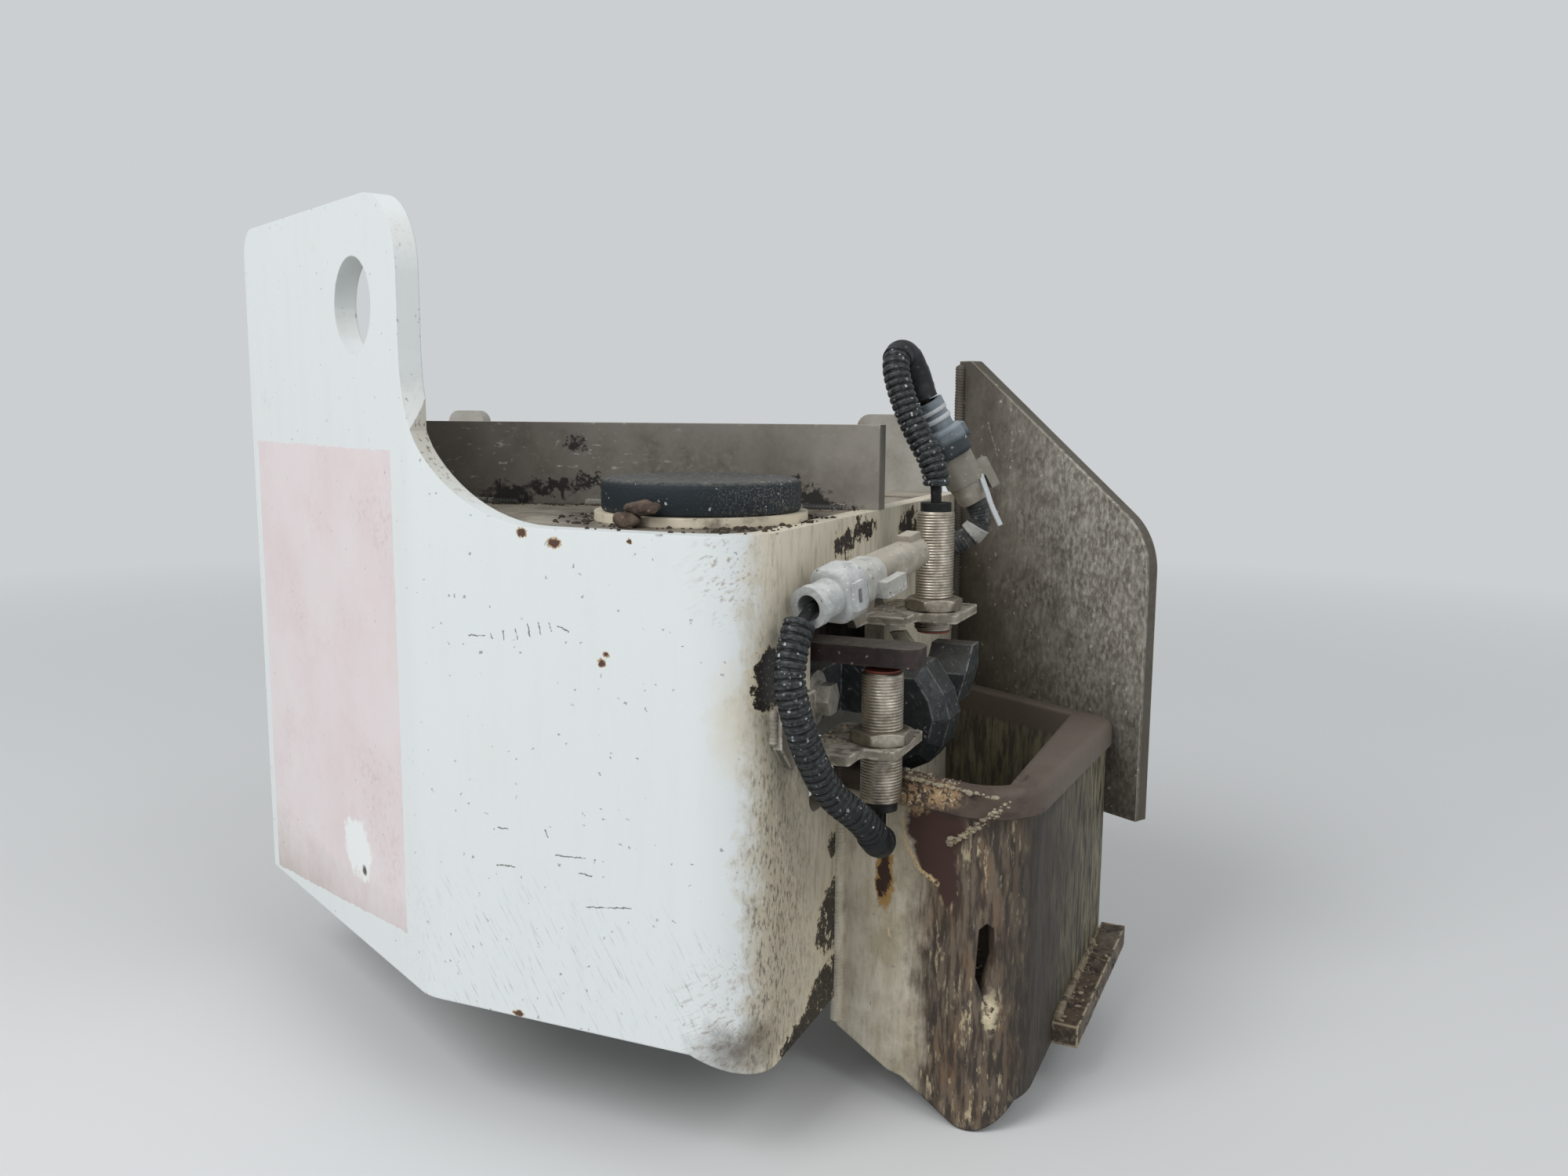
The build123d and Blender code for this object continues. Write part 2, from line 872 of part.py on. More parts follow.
def connector(prefix, ends, turn):
    """A mated pair along a line; turn swings its latch round the line, in degrees."""
    start = place(*ends[0])
    finish = place(*ends[1])
    axis = along(start, finish - start)
    level = axis.x_dir.rotate(Axis((0, 0, 0), axis.z_dir), turn)
    body = Plane(origin=start, x_dir=level, z_dir=axis.z_dir)
    hood_start = collar_length + neck_length
    backshell_length = hood_start + hood_length
    plug_end = backshell_length + plug_length
    with BuildPart() as backshell:
        with BuildSketch(body.offset(hood_start)):
            RectangleRounded(hood_width, hood_height, hood_corner)
        extrude(amount=hood_length)
        fillet(backshell.faces().group_by(SortBy.AREA)[-1].edges(), hood_round)
        with BuildSketch(body):
            Circle(collar_radius)
        extrude(amount=collar_length)
        with BuildSketch(body):
            Circle(neck_radius)
        extrude(amount=hood_start + hood_round)
        # A clip frame stands on the hood's outer side
        clip_middle = body.origin + body.z_dir * (hood_start + clip_start)
        hood_side = Plane(
            origin=clip_middle - body.x_dir * hood_width / 2,
            x_dir=body.z_dir,
            z_dir=-body.x_dir,
        )
        with BuildSketch(hood_side.offset(-clip_root)):
            Rectangle(clip_width, clip_height)
        extrude(amount=clip_root + clip_lift)
        with BuildSketch(hood_side):
            Rectangle(clip_slot, clip_slot_height)
        extrude(amount=clip_lift, mode=Mode.SUBTRACT)
        with BuildSketch(body):
            Circle(backshell_bore)
        extrude(amount=lead_socket, mode=Mode.SUBTRACT)
    keep(backshell.part, f"{prefix}_backshell")
    with BuildPart() as plug:
        with BuildSketch(body.offset(backshell_length)):
            RectangleRounded(plug_width, plug_height, plug_corner)
        extrude(amount=plug_length)
        with BuildSketch(body.offset(plug_end - latch_length / 2)):
            with Locations((-plug_width / 2 - latch_width, -latch_low)):
                Rectangle(
                    latch_width + latch_root, latch_height, align=(Align.MIN, Align.CENTER)
                )
        extrude(amount=latch_length / 2)
        with BuildSketch(body.offset(plug_end)):
            with Locations((-plug_width / 2 - latch_width, -latch_low)):
                Rectangle(latch_width, latch_height, align=(Align.MIN, Align.CENTER))
        extrude(amount=latch_length / 2)
    keep(plug.part, f"{prefix}_plug")
    with BuildPart() as socket:
        with BuildSketch(body.offset(plug_end)):
            RectangleRounded(socket_width, socket_height, socket_corner)
        with BuildSketch(body.offset((finish - start).length)):
            RectangleRounded(
                socket_width - socket_draw, socket_height - socket_draw, socket_corner
            )
        loft()
        # A guide rail runs along the socket's top to its far end
        with BuildSketch(body.offset((finish - start).length - rail_length)):
            with Locations((0, socket_height / 2 - rail_height)):
                Rectangle(rail_width, 2 * rail_height, align=(Align.CENTER, Align.MIN))
        extrude(amount=rail_length)
    keep(socket.part, f"{prefix}_socket")
    return axis


def route_radii(points):
    """Arc radius at each corner, from a share of its shorter run."""
    radii = []
    for before, corner, after in zip(points, points[1:], points[2:]):
        turn = radians((corner - before).get_angle(after - corner))
        run = min((corner - before).length, (after - corner).length)
        radii.append(bend_share * run / tan(turn / 2))
    return radii


def lead(points, radii, outer, inner, name):
    """A round lead or sleeve along straight runs joined by tangent arcs."""
    with BuildPart() as tube:
        with BuildLine() as path:
            FilletPolyline(*points, radius=radii)
        with BuildSketch(Plane(origin=points[0], z_dir=points[1] - points[0])):
            Circle(outer)
            if inner:
                Circle(inner, mode=Mode.SUBTRACT)
        sweep()
    length = sum(edge.length for edge in path.line.edges())
    print(name, "length", round(length, 1), "radii", [round(r, 1) for r in radii])
    keep(tube.part, name)


lower_axis = connector("lower", lower_pair, 0)
upper_axis = connector("upper", upper_pair, -90)

lower_points = [
    lower_axis.origin + lower_axis.z_dir * lead_socket,
    lower_axis.origin - lower_axis.z_dir * lead_straight,
    *[place(*point) for point in lower_route],
    place(sensor_x, lower_depth, lower_face - barrel_length - boot_height),
]
lower_radii = route_radii(lower_points)
lead(lower_points, lower_radii, lead_radius, 0, "lower_lead")
sleeve_points = [
    between(lower_points[1], lower_points[2], sleeve_share),
    *lower_points[2:-2],
    between(lower_points[-3], lower_points[-2], sleeve_end_share),
]
lead(sleeve_points, lower_radii[1:-1], sleeve_radius, sleeve_bore, "lower_sleeve")

upper_points = [
    place(sensor_x, upper_depth, upper_face + barrel_length + boot_height),
    *[place(*point) for point in upper_route],
    upper_axis.origin - upper_axis.z_dir * lead_straight,
    upper_axis.origin + upper_axis.z_dir * lead_socket,
]
upper_radii = route_radii(upper_points)
lead(upper_points, upper_radii, lead_radius, 0, "upper_lead")
sleeve_points = [
    between(upper_points[1], upper_points[0], sleeve_end_share),
    *upper_points[1:-2],
    between(upper_points[-2], upper_points[-3], sleeve_share),
]
lead(sleeve_points, upper_radii[:-1], sleeve_radius, sleeve_bore, "upper_sleeve")

tail_points = [
    place(*upper_pair[1]),
    place(*upper_pair[1]) + upper_axis.z_dir * tail_straight,
    *[place(*point) for point in tail_route],
]
lead(tail_points, route_radii(tail_points), tail_radius, 0, "tail_lead")

print(len(finished), "pieces")
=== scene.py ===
# %% [markdown]
# This lesson dresses a steel side guard off a refuse truck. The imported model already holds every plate
# and bolt at its real place, so the work here is finish: chipped enamel, worn rubber, threads, ribbed
# cable sleeves and moulded connectors. The frame is loaded first, because every piece rides on it.

# %% Load the frame
import math
import random

import bmesh
import bpy
from mathutils import Matrix, Vector, noise


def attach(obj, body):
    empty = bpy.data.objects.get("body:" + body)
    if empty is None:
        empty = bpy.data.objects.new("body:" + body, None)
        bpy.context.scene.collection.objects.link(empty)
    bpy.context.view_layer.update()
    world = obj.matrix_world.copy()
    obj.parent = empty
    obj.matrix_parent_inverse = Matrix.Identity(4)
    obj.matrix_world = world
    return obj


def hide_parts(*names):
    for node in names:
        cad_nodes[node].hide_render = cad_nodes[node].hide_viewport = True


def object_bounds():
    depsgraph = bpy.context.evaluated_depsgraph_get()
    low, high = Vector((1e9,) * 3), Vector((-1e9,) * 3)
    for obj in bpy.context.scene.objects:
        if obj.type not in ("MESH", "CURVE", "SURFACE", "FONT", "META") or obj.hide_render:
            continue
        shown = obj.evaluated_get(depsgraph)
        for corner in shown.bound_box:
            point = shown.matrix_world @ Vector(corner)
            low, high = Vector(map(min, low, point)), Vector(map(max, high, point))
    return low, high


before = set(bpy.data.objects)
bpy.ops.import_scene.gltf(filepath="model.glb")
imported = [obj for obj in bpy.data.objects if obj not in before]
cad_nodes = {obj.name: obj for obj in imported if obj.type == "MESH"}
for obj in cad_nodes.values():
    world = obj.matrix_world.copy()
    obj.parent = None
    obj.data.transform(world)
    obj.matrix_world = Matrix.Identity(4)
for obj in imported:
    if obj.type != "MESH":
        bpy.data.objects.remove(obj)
cad_low, cad_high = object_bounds()
MM = 0.001
print(len(cad_nodes), "solid pieces in the frame")

# %% [markdown]
# All sizes are told from one corner, the guard's outer top corner, as on a workshop drawing: across to
# the right, in from the front plate, and up from the deck. The corner itself stands in the frame at a
# fixed place, measured from the middle of the bolt holes on the back plate.

# %% Places on the guard
CORNER = Vector((180, -290, 75))


def place(across, depth, height):
    """A point in the frame, in metres, from millimetres at the guard's corner."""
    return (CORNER + Vector((across, depth, height))) * MM


print("corner at", place(0, 0, 0))

# %% [markdown]
# The camera stands where the picture was taken, about half a metre off and a little above the deck,
# with a wide lens. The wide lens matters: it makes the near corner swell and the far end shrink.

# %% Camera
SENSOR_WIDTH = 36
LENS = 29.4
NEAREST_SEEN = 0.01
CAMERA_PLACE = (0.37407, -0.71736, 0.12383)
HEADING = math.radians(22.89)
DIP = math.radians(8.12)
LEAN = math.radians(0.38)
camera_data = bpy.data.cameras.new("camera")
camera_data.sensor_width = SENSOR_WIDTH
camera_data.lens = LENS
camera_data.clip_start = NEAREST_SEEN
camera = bpy.data.objects.new("camera", camera_data)
bpy.context.scene.collection.objects.link(camera)
camera.matrix_world = (
    Matrix.Translation(CAMERA_PLACE)
    @ Matrix.Rotation(HEADING, 4, "Z")
    @ Matrix.Rotation(math.pi / 2 - DIP, 4, "X")
    @ Matrix.Rotation(LEAN, 4, "Z")
)
bpy.context.scene.camera = camera
bpy.context.scene.view_settings.view_transform = "Standard"
print("camera at", camera.matrix_world.translation)

# %% [markdown]
# Enamel looks right under broad, soft light, so the sky does most of the work and two large lamps give
# it a direction. Their sum is kept near one, so that a colour comes out about as it is written.

# %% Light and floor
SKY_STRENGTH = 0.56
KEY_LAMP = ((-0.5, -1.6, 1.5), (0, -0.2, 0), 1.2, 26)
FILL_LAMP = ((1.4, -0.6, 1.1), (0.1, -0.2, 0), 1.0, 6.5)
FLOOR_RADIUS = 6.0
FLOOR_GAP = 0.5 * MM
FADE_START = 0.4
FADE_END = 2.0


def add(tree, kind, sockets=None, out=0, **settings):
    """Add a shader node, set it up, fill or link its sockets, and hand back one output."""
    made = tree.nodes.new("ShaderNode" + kind)
    for name, value in settings.items():
        setattr(made, name, value)
    for name, value in (sockets or {}).items():
        if isinstance(value, bpy.types.NodeSocket):
            tree.links.new(value, made.inputs[name])
        else:
            made.inputs[name].default_value = value
    return made.outputs[out]


def tint(code):
    """An sRGB hex colour turned to the linear colour that Blender mixes."""
    parts = [int(code[i : i + 2], 16) / 255 for i in (1, 3, 5)]
    linear = [c / 12.92 if c <= 0.04045 else ((c + 0.055) / 1.055) ** 2.4 for c in parts]
    return (*linear, 1)


def surface(name, values):
    """A new material with plain values on its shader; hands back material, tree and shader."""
    made = bpy.data.materials.new(name)
    made.use_nodes = True
    shader = made.node_tree.nodes["Principled BSDF"]
    for socket, value in values.items():
        shader.inputs[socket].default_value = value
    return made, made.node_tree, shader


def lamp(name, place_at, aim, size, power):
    """A large square lamp that looks at a point."""
    data = bpy.data.lights.new(name, "AREA")
    data.size = size
    data.energy = power
    made = bpy.data.objects.new(name, data)
    bpy.context.scene.collection.objects.link(made)
    made.location = place_at
    turn = (Vector(aim) - Vector(place_at)).to_track_quat("-Z", "Y")
    made.rotation_euler = turn.to_euler()


lamp("key", *KEY_LAMP)
lamp("fill", *FILL_LAMP)
world = bpy.data.worlds.new("sky")
bpy.context.scene.world = world
world.use_nodes = True
sky = world.node_tree
sky.nodes.clear()
ray = add(sky, "LightPath", out="Is Camera Ray")
shine = add(sky, "LightPath", out="Is Glossy Ray")
seen = add(sky, "Math", {0: ray, 1: shine}, operation="MAXIMUM")
soft = add(sky, "Background", {"Color": tint("#EDEFF0"), "Strength": SKY_STRENGTH})
pale = add(sky, "Background", {"Color": tint("#CCCFD1"), "Strength": 1.0})
both = add(sky, "MixShader", {0: seen, 1: soft, 2: pale})
sky_out = sky.nodes.new("ShaderNodeOutputWorld")
sky.links.new(both, sky_out.inputs["Surface"])
floor_mesh = bpy.data.meshes.new("floor")
floor_bm = bmesh.new()
bmesh.ops.create_circle(floor_bm, cap_ends=True, segments=96, radius=FLOOR_RADIUS)
floor_bm.to_mesh(floor_mesh)
floor_bm.free()
floor = bpy.data.objects.new("floor", floor_mesh)
floor.location = (0, 0, cad_low.z - FLOOR_GAP)
bpy.context.scene.collection.objects.link(floor)
floor_look = {"Base Color": tint("#D6D8D9"), "Roughness": 0.9}
floor_paint, floor_tree, floor_shader = surface("studio_floor", floor_look)
floor_spot = add(floor_tree, "TexCoord", out="Object")
floor_reach = add(floor_tree, "VectorMath", {0: floor_spot}, operation="LENGTH", out="Value")
fade = {"Value": floor_reach, "From Min": FADE_START, "From Max": FADE_END}
floor_fade = add(floor_tree, "MapRange", fade)
floor_clear = add(floor_tree, "BsdfTransparent")
floor_blend = add(floor_tree, "MixShader", {0: floor_fade, 1: floor_shader.outputs[0], 2: floor_clear})
floor_tree.links.new(floor_blend, floor_tree.nodes["Material Output"].inputs["Surface"])
floor_mesh.materials.append(floor_paint)
print(len(bpy.data.lights), "lamps and a floor", round(2 * FLOOR_RADIUS), "metres across")

# %% [markdown]
# Old paint is never one colour, so every finish here is a stack: a base coat, then stains, flecks and
# chips, each laid where a mask says. The masks are few: a cloudy spread, ragged specks, blots at named
# places, strokes between two places, a slope from one place to another, the side that a surface faces,
# and a plate's worn edge.

# %% Masks
UP = (0, 0, 1)
DOWN = (0, 0, -1)


def number_math(tree, operation, *values):
    """Arithmetic on masks and plain numbers."""
    return add(tree, "Math", dict(enumerate(values)), operation=operation)


def vector_math(tree, operation, *values, out="Vector"):
    """Arithmetic on places and directions; a length or a dot product comes out under "Value"."""
    return add(tree, "VectorMath", dict(enumerate(values)), out=out, operation=operation)


def cut(tree, mask, low, high):
    """A mask sharpened: nothing below low, full above high."""
    return add(tree, "MapRange", {"Value": mask, "From Min": low, "From Max": high})


def both_of(tree, one, other):
    """Where two masks meet, or a weaker copy of a mask where the other is a plain number."""
    return number_math(tree, "MULTIPLY", one, other)


def spread(tree, size, low, high, wide=1, deep=1, tall=1, seed=0.0, turn=0.0):
    """A cloudy mask with lumps of about size millimetres, or longer ones, cut between low and high."""
    sockets = {
        "Vector": add(tree, "TexCoord", out="Object"),
        "Location": (seed / 10, -seed / 10, seed / 5),
        "Rotation": (0, turn, 0),
        "Scale": (size * wide * MM, size * deep * MM, size * tall * MM),
    }
    moved = add(tree, "Mapping", sockets, vector_type="TEXTURE")
    cloud = add(tree, "TexNoise", {"Vector": moved, "Scale": 1, "Detail": 5, "Roughness": 0.62})
    return cut(tree, cloud, low, high)


def patchy(tree, mask, *cloud, **more):
    """A mask broken up by a cloudy one."""
    return both_of(tree, mask, spread(tree, *cloud, **more))


def specks(tree, spacing, share, radius, seed=0.0):
    """Ragged spots spacing millimetres apart in a share of the places, radius a part of spacing."""
    where = add(tree, "TexCoord", out="Object")
    sockets = {"Vector": where, "Location": (seed, seed, -seed), "Scale": (1 / (spacing * MM),) * 3}
    moved = add(tree, "Mapping", sockets)
    waves = add(tree, "TexNoise", {"Vector": moved, "Scale": 3, "Detail": 3}, out="Color")
    shaken = vector_math(tree, "MULTIPLY_ADD", waves, (0.8, 0.8, 0.8), moved)
    near = add(tree, "TexVoronoi", {"Vector": shaken, "Scale": 1})
    lot = add(tree, "SeparateColor", {"Color": near.node.outputs["Color"]})
    rim = both_of(tree, lot.node.outputs["Green"], radius * 1.8)
    spot = cut(tree, near, rim, both_of(tree, rim, 0.6))
    return both_of(tree, spot, number_math(tree, "LESS_THAN", lot, share))


def shaken_place(tree, ragged, grain, seed=0.0):
    """Where a point lies, pushed by up to ragged millimetres in waves of grain millimetres."""
    where = add(tree, "TexCoord", out="Object")
    moved = add(tree, "Mapping", {"Vector": where, "Location": (seed, 0, seed)})
    sockets = {"Vector": moved, "Scale": 1 / (grain * MM), "Detail": 5, "Roughness": 0.7}
    waves = add(tree, "TexNoise", sockets, out="Color")
    centred = vector_math(tree, "ADD", waves, (-0.5, -0.5, -0.5))
    return vector_math(tree, "MULTIPLY_ADD", centred, (4 * ragged * MM,) * 3, where)


def blots(tree, spots, ragged=4.0, grain=9.0, soft=0.3, seed=0.0):
    """Ragged patches; each spot is a place and half sizes, in millimetres at the guard's corner."""
    shaken = shaken_place(tree, ragged, grain, seed)
    whole = 0.0
    for middle, half in spots:
        away = vector_math(tree, "SUBTRACT", shaken, place(*middle))
        share = vector_math(tree, "DIVIDE", away, Vector(half) * MM)
        spot = cut(tree, vector_math(tree, "LENGTH", share, out="Value"), 1 + soft, 1 - soft)
        whole = number_math(tree, "MAXIMUM", spot, whole)
    return whole


def gone(tree, away, run):
    """How far a point has gone along a run: 0 at its start, 1 at its end."""
    return vector_math(tree, "DOT_PRODUCT", away, run / run.length_squared, out="Value")


def strokes(tree, lines, width, ragged=0.6):
    """Scratches or streaks, each between two places, width millimetres to either side."""
    shaken = shaken_place(tree, ragged, 2.5)
    whole = 0.0
    for start, end in lines:
        run = place(*end) - place(*start)
        away = vector_math(tree, "SUBTRACT", shaken, place(*start))
        held = add(tree, "Clamp", {"Value": gone(tree, away, run)})
        foot = add(tree, "VectorMath", {0: run, "Scale": held}, operation="SCALE")
        far = vector_math(tree, "DISTANCE", away, foot, out="Value")
        line = cut(tree, far, width * MM, width * 0.4 * MM)
        whole = number_math(tree, "MAXIMUM", line, whole)
    return whole


def slope(tree, start, end, wobble=0.3, size=30, seed=0.0):
    """A mask that grows from nothing at one place to full at another, with an uneven front."""
    where = add(tree, "TexCoord", out="Object")
    away = vector_math(tree, "SUBTRACT", where, place(*start))
    cloud = spread(tree, size, 0.0, 1.0, seed=seed)
    pushed = number_math(tree, "MULTIPLY_ADD", cloud, 4 * wobble, -2 * wobble)
    share = gone(tree, away, place(*end) - place(*start))
    return add(tree, "Clamp", {"Value": number_math(tree, "ADD", share, pushed)})


def facing(tree, way, low=0.3, high=0.9):
    """The side of a piece that looks one way; dust settles on the side that looks up, and the same mask lays
    painted shade and painted highlight on a side.
    """
    normal = add(tree, "NewGeometry", out="Normal")
    match = vector_math(tree, "DOT_PRODUCT", normal, Vector(way).normalized(), out="Value")
    return cut(tree, match, low, high)


def worn_edges(tree, reach, low=0.995, high=0.85):
    """The line along a plate's edges, reach millimetres wide."""
    rounded = add(tree, "Bevel", {"Radius": reach * MM}, samples=4)
    flat = add(tree, "NewGeometry", out="Normal")
    match = vector_math(tree, "DOT_PRODUCT", rounded, flat, out="Value")
    return cut(tree, match, low, high)


def coats(tree, base, layers):
    """Colours laid one over another; a layer is a mask, its strength and a colour."""
    colour = tint(base)
    for mask, strength, code in layers:
        share = mask if strength == 1 else both_of(tree, mask, strength)
        colour = add(tree, "MixRGB", {"Fac": share, "Color1": colour, "Color2": tint(code)})
    return colour


def paint_on(tree, shader, colour, rough, bump, height, soften):
    """Link a finish's colour, roughness and relief; height and soften are in millimetres."""
    tree.links.new(colour, shader.inputs["Base Color"])
    tree.links.new(rough, shader.inputs["Roughness"])
    rounded = add(tree, "Bevel", {"Radius": soften * MM}, samples=4)
    relief = add(tree, "Bump", {"Distance": height * MM, "Height": bump, "Normal": rounded})
    tree.links.new(relief, shader.inputs["Normal"])


def dress(material, *names):
    """Give solid pieces of the frame a better finish."""
    for name in names:
        for holder in cad_nodes[name].material_slots:
            holder.material = material


print("masks: spread, patchy, specks, blots, strokes, slope, facing and worn_edges")

# %% [markdown]
# The guard is plate steel under white polyurethane enamel, sprayed and never polished. Enamel is a
# clear hard skin, so its roughness is middling and its IOR that of plastic. What the eye reads is
# the damage: grime worked in round the near corner, fine dark specks, scuffs near the bottom, and
# bare black patches.

# %% White enamel


def enamel(
    name, base, grime, low, high, seed=0.0, size=60,
    more=None, edge="#38241B", chip=0.62, streak=0.1, fleck=0.4, matt=0.45,
):
    """Enamel on plate, clean to filthy by low and high; more adds layers of its own."""
    made, tree, shader = surface(name, {"IOR": 1.5})
    clouds = spread(tree, size, low, high, seed=seed)
    layers = [
        (clouds, 1, grime),
        (spread(tree, 10, 0.5, 0.75, tall=6, seed=seed + 3), streak, grime),
        (patchy(tree, clouds, 3, 0.5, 0.72, seed=seed + 6), 0.5, edge),
        (specks(tree, 4, fleck, 0.1, seed=seed), 0.7, "#6F7376"),
    ]
    layers += more(tree) if more else []
    chips = patchy(tree, worn_edges(tree, 2.0), 9, chip, chip + 0.04, seed=seed + 1)
    layers.append((chips, 1, edge))
    rough = add(tree, "MapRange", {"Value": clouds, "To Min": matt, "To Max": 0.85})
    relief = spread(tree, 1.6, 0.2, 0.9, seed=seed)
    paint_on(tree, shader, coats(tree, base, layers), rough, relief, 0.05, 0.8)
    return made


print("enamel: base coat, grime, streaks, specks, wear and chips")

# %% [markdown]
# Wear is laid out place by place, since a guard is hit and rubbed in the same spots for years: bare
# patches, ticks and chips here, tar along the strap plate's foot. Each mark is a place and a size.

# %% Wear on the guard and its deck
BARE_PATCHES = [((-1, 20, -57), (6, 12, 12))] + [
    ((0, depth, height), (3, deep, tall)) for depth, height, deep, tall in (
        (96, -145, 13, 6), (88, -180, 17, 15), (100, -165, 11, 5), (86, -211, 26, 12),
        (56, -219, 26, 7), (100, -11, 15, 6), (126, -7, 17, 5), (196, -11, 19, 8),
    )
]
TICKS = [
    ((left, 0, start), (right, 0, end)) for left, start, right, end in (
        (-127, -45.5, -119, -45.2), (-116, -44, -115.4, -46.5), (-110, -42.5, -109.6, -46),
        (-104, -41.5, -103.2, -45.5), (-98, -39, -97.4, -43.5), (-93, -38, -92, -42.5),
        (-88, -37.5, -87, -41), (-84, -38.5, -79, -40.6), (-115, -126, -110, -126),
        (-92, -124, -90.5, -127), (-87, -134, -73, -133.4), (-116, -142.5, -107, -142),
        (-76, -140, -70, -140.3), (-73, -154, -52, -151),
    )
]
CHIPS = [
    ((across, 0, height), (wide, 3, tall)) for across, height, wide, tall in (
        (-100, -2, 2, 1.6), (-85, -5.5, 2.7, 1.7), (-64, -52, 1.5, 1.5),
        (-62, -48.4, 1.2, 0.9), (-51, -3.4, 0.9, 0.8), (-107, -206.5, 2.2, 1.2),
    )
]


def rimmed(tree, mask, rim, core, inner=0.4):
    """Two layers that make a dark patch with a paler rim."""
    return [(cut(tree, mask, 0.05, 0.3), 1, rim), (cut(tree, mask, inner, 0.6), 1, core)]


def guard_wear(tree):
    """Cream grime round the near corner, lightened on the side flange as painted light, scuffs low on the
    front, scratches, chips and bare patches.
    """
    side = slope(tree, (-9, 6, 0), (-1, 18, 0), wobble=0.5, size=10, seed=2)
    low_spot = blots(tree, [((-4, 16, -160), (26, 40, 100))], ragged=7, soft=0.6)
    low_side = both_of(tree, side, low_spot)
    scuff_spots = [((-105, 0, -183), (64, 20, 28)), ((-24, 0, -184), (20, 20, 20))]
    scuffed = blots(tree, scuff_spots, ragged=8, soft=0.8)
    rub_spots = [((-10, 4, -15), (13, 12, 14)), ((-12, 4, -196), (16, 12, 20))]
    rubbed = blots(tree, rub_spots, ragged=6, soft=0.7)
    bare = blots(tree, BARE_PATCHES, ragged=5, grain=7, seed=3)
    chips = blots(tree, CHIPS, ragged=0.9, grain=2, soft=0.5)
    tab_end = slope(tree, (-14, 0, 0), (-22, 0, 0), wobble=0)
    cut_side = both_of(tree, facing(tree, (1, 0.45, 0.3), 0.6, 0.95), tab_end)
    tab_chips = [((-160, 6, 90), (6, 12, 7)), ((-158, 6, 64), (6, 12, 9)), ((-139, -6, 27), (6, 10, 3))]
    return [
        # Cream grime on the side flange, with the blot on it and its lower part, painted paler as painted
        # light on that side.
        (side, 0.9, "#DAD1BC"),
        (blots(tree, [((-8, 8, -72), (8, 8, 16))], ragged=5, soft=0.8), 0.6, "#D3C5A3"),
        (patchy(tree, side, 3.5, 0.48, 0.68, tall=5, seed=15), 0.55, "#A2967D"),
        (low_side, 0.5, "#A1957E"),
        (patchy(tree, side, 6, 0.6, 0.72, tall=2, seed=17), 0.5, "#8A6B4A"),
        (patchy(tree, low_side, 1.5, 0.5, 0.62, tall=2.4, seed=16), 0.75, "#3E362D"),
        (patchy(tree, side, 2.2, 0.6, 0.68, tall=1.6, seed=14), 0.6, "#E6DFCB"),
        (patchy(tree, scuffed, 1, 0.57, 0.68, wide=16, seed=4, turn=1.05), 0.7, "#8D918D"),
        (patchy(tree, rubbed, 1.4, 0.54, 0.64, wide=8, seed=18, turn=-0.5), 0.7, "#8A7458"),
        (strokes(tree, TICKS, 0.4), 1, "#6A6A67"),
        *rimmed(tree, chips, "#B79B7C", "#51392C"),
        *rimmed(tree, bare, "#D8CDB3", "#29231F"),
        (patchy(tree, cut(tree, bare, 0.5, 0.7), 1.2, 0.58, 0.66, seed=19), 1, "#8A8073"),
        (facing(tree, (-1, 0.2, 0), 0.6, 0.9), 0.9, "#3B352E"),
        (blots(tree, [((-8, 8, -206), (15, 16, 9))], ragged=6, soft=0.7), 0.8, "#5A4E40"),
        (cut_side, 0.8, "#C9C2B0"),
        (patchy(tree, cut_side, 2.4, 0.56, 0.64, seed=31), 1, "#6E5D4A"),
        (both_of(tree, cut_side, blots(tree, tab_chips, ragged=5, grain=5, seed=7)), 1, "#2B231E"),
    ]


def strap_wear(tree):
    """Dark at its far end, paler by the side flange, with tar drawn along its foot."""
    tar = [
        ((-178, 103, 5), (13, 8, 4)), ((-157, 108, 8), (14, 8, 3)), ((-138, 113, 11), (8, 8, 2.2)),
        ((-178, 102, -1), (16, 8, 5)), ((-144, 111, 29), (5, 5, 2.8)), ((-31, 140, 4), (9, 8, 5)),
        ((-22, 142, -1), (14, 8, 3)), ((-39, 138, 12), (3, 8, 6)),
    ]
    brown = [((-48, 135, 16), (16, 8, 14)), ((-16, 143, 8), (16, 8, 10))]
    scuffed = blots(tree, [((-150, 110, 24), (52, 20, 16))], ragged=8, soft=0.8)
    return [
        (slope(tree, (-140, 112, 0), (-205, 96, 0), wobble=0.25, size=25, seed=20), 0.8, "#49443E"),
        (slope(tree, (-70, 130, 0), (-4, 146, 0), size=25, seed=21), 0.6, "#98938A"),
        (facing(tree, UP, 0.7, 0.95), 0.7, "#B4B0A5"),
        (blots(tree, brown, ragged=6, soft=0.8), 0.5, "#473D34"),
        (patchy(tree, scuffed, 1.8, 0.62, 0.68, wide=3, deep=3, seed=22), 0.8, "#B9B6AE"),
        (blots(tree, tar, ragged=7, grain=7, soft=0.2, seed=6), 1, "#1F1C1A"),
    ]


def deck_wear(tree):
    """Oily dirt pressed round the pad's seat."""
    return [(blots(tree, [((-50, 70, 0), (60, 60, 6))], ragged=5, soft=0.35), 0.75, "#3B342D")]


print(len(BARE_PATCHES), "bare patches,", len(TICKS), "ticks and", len(CHIPS), "chips on the guard")
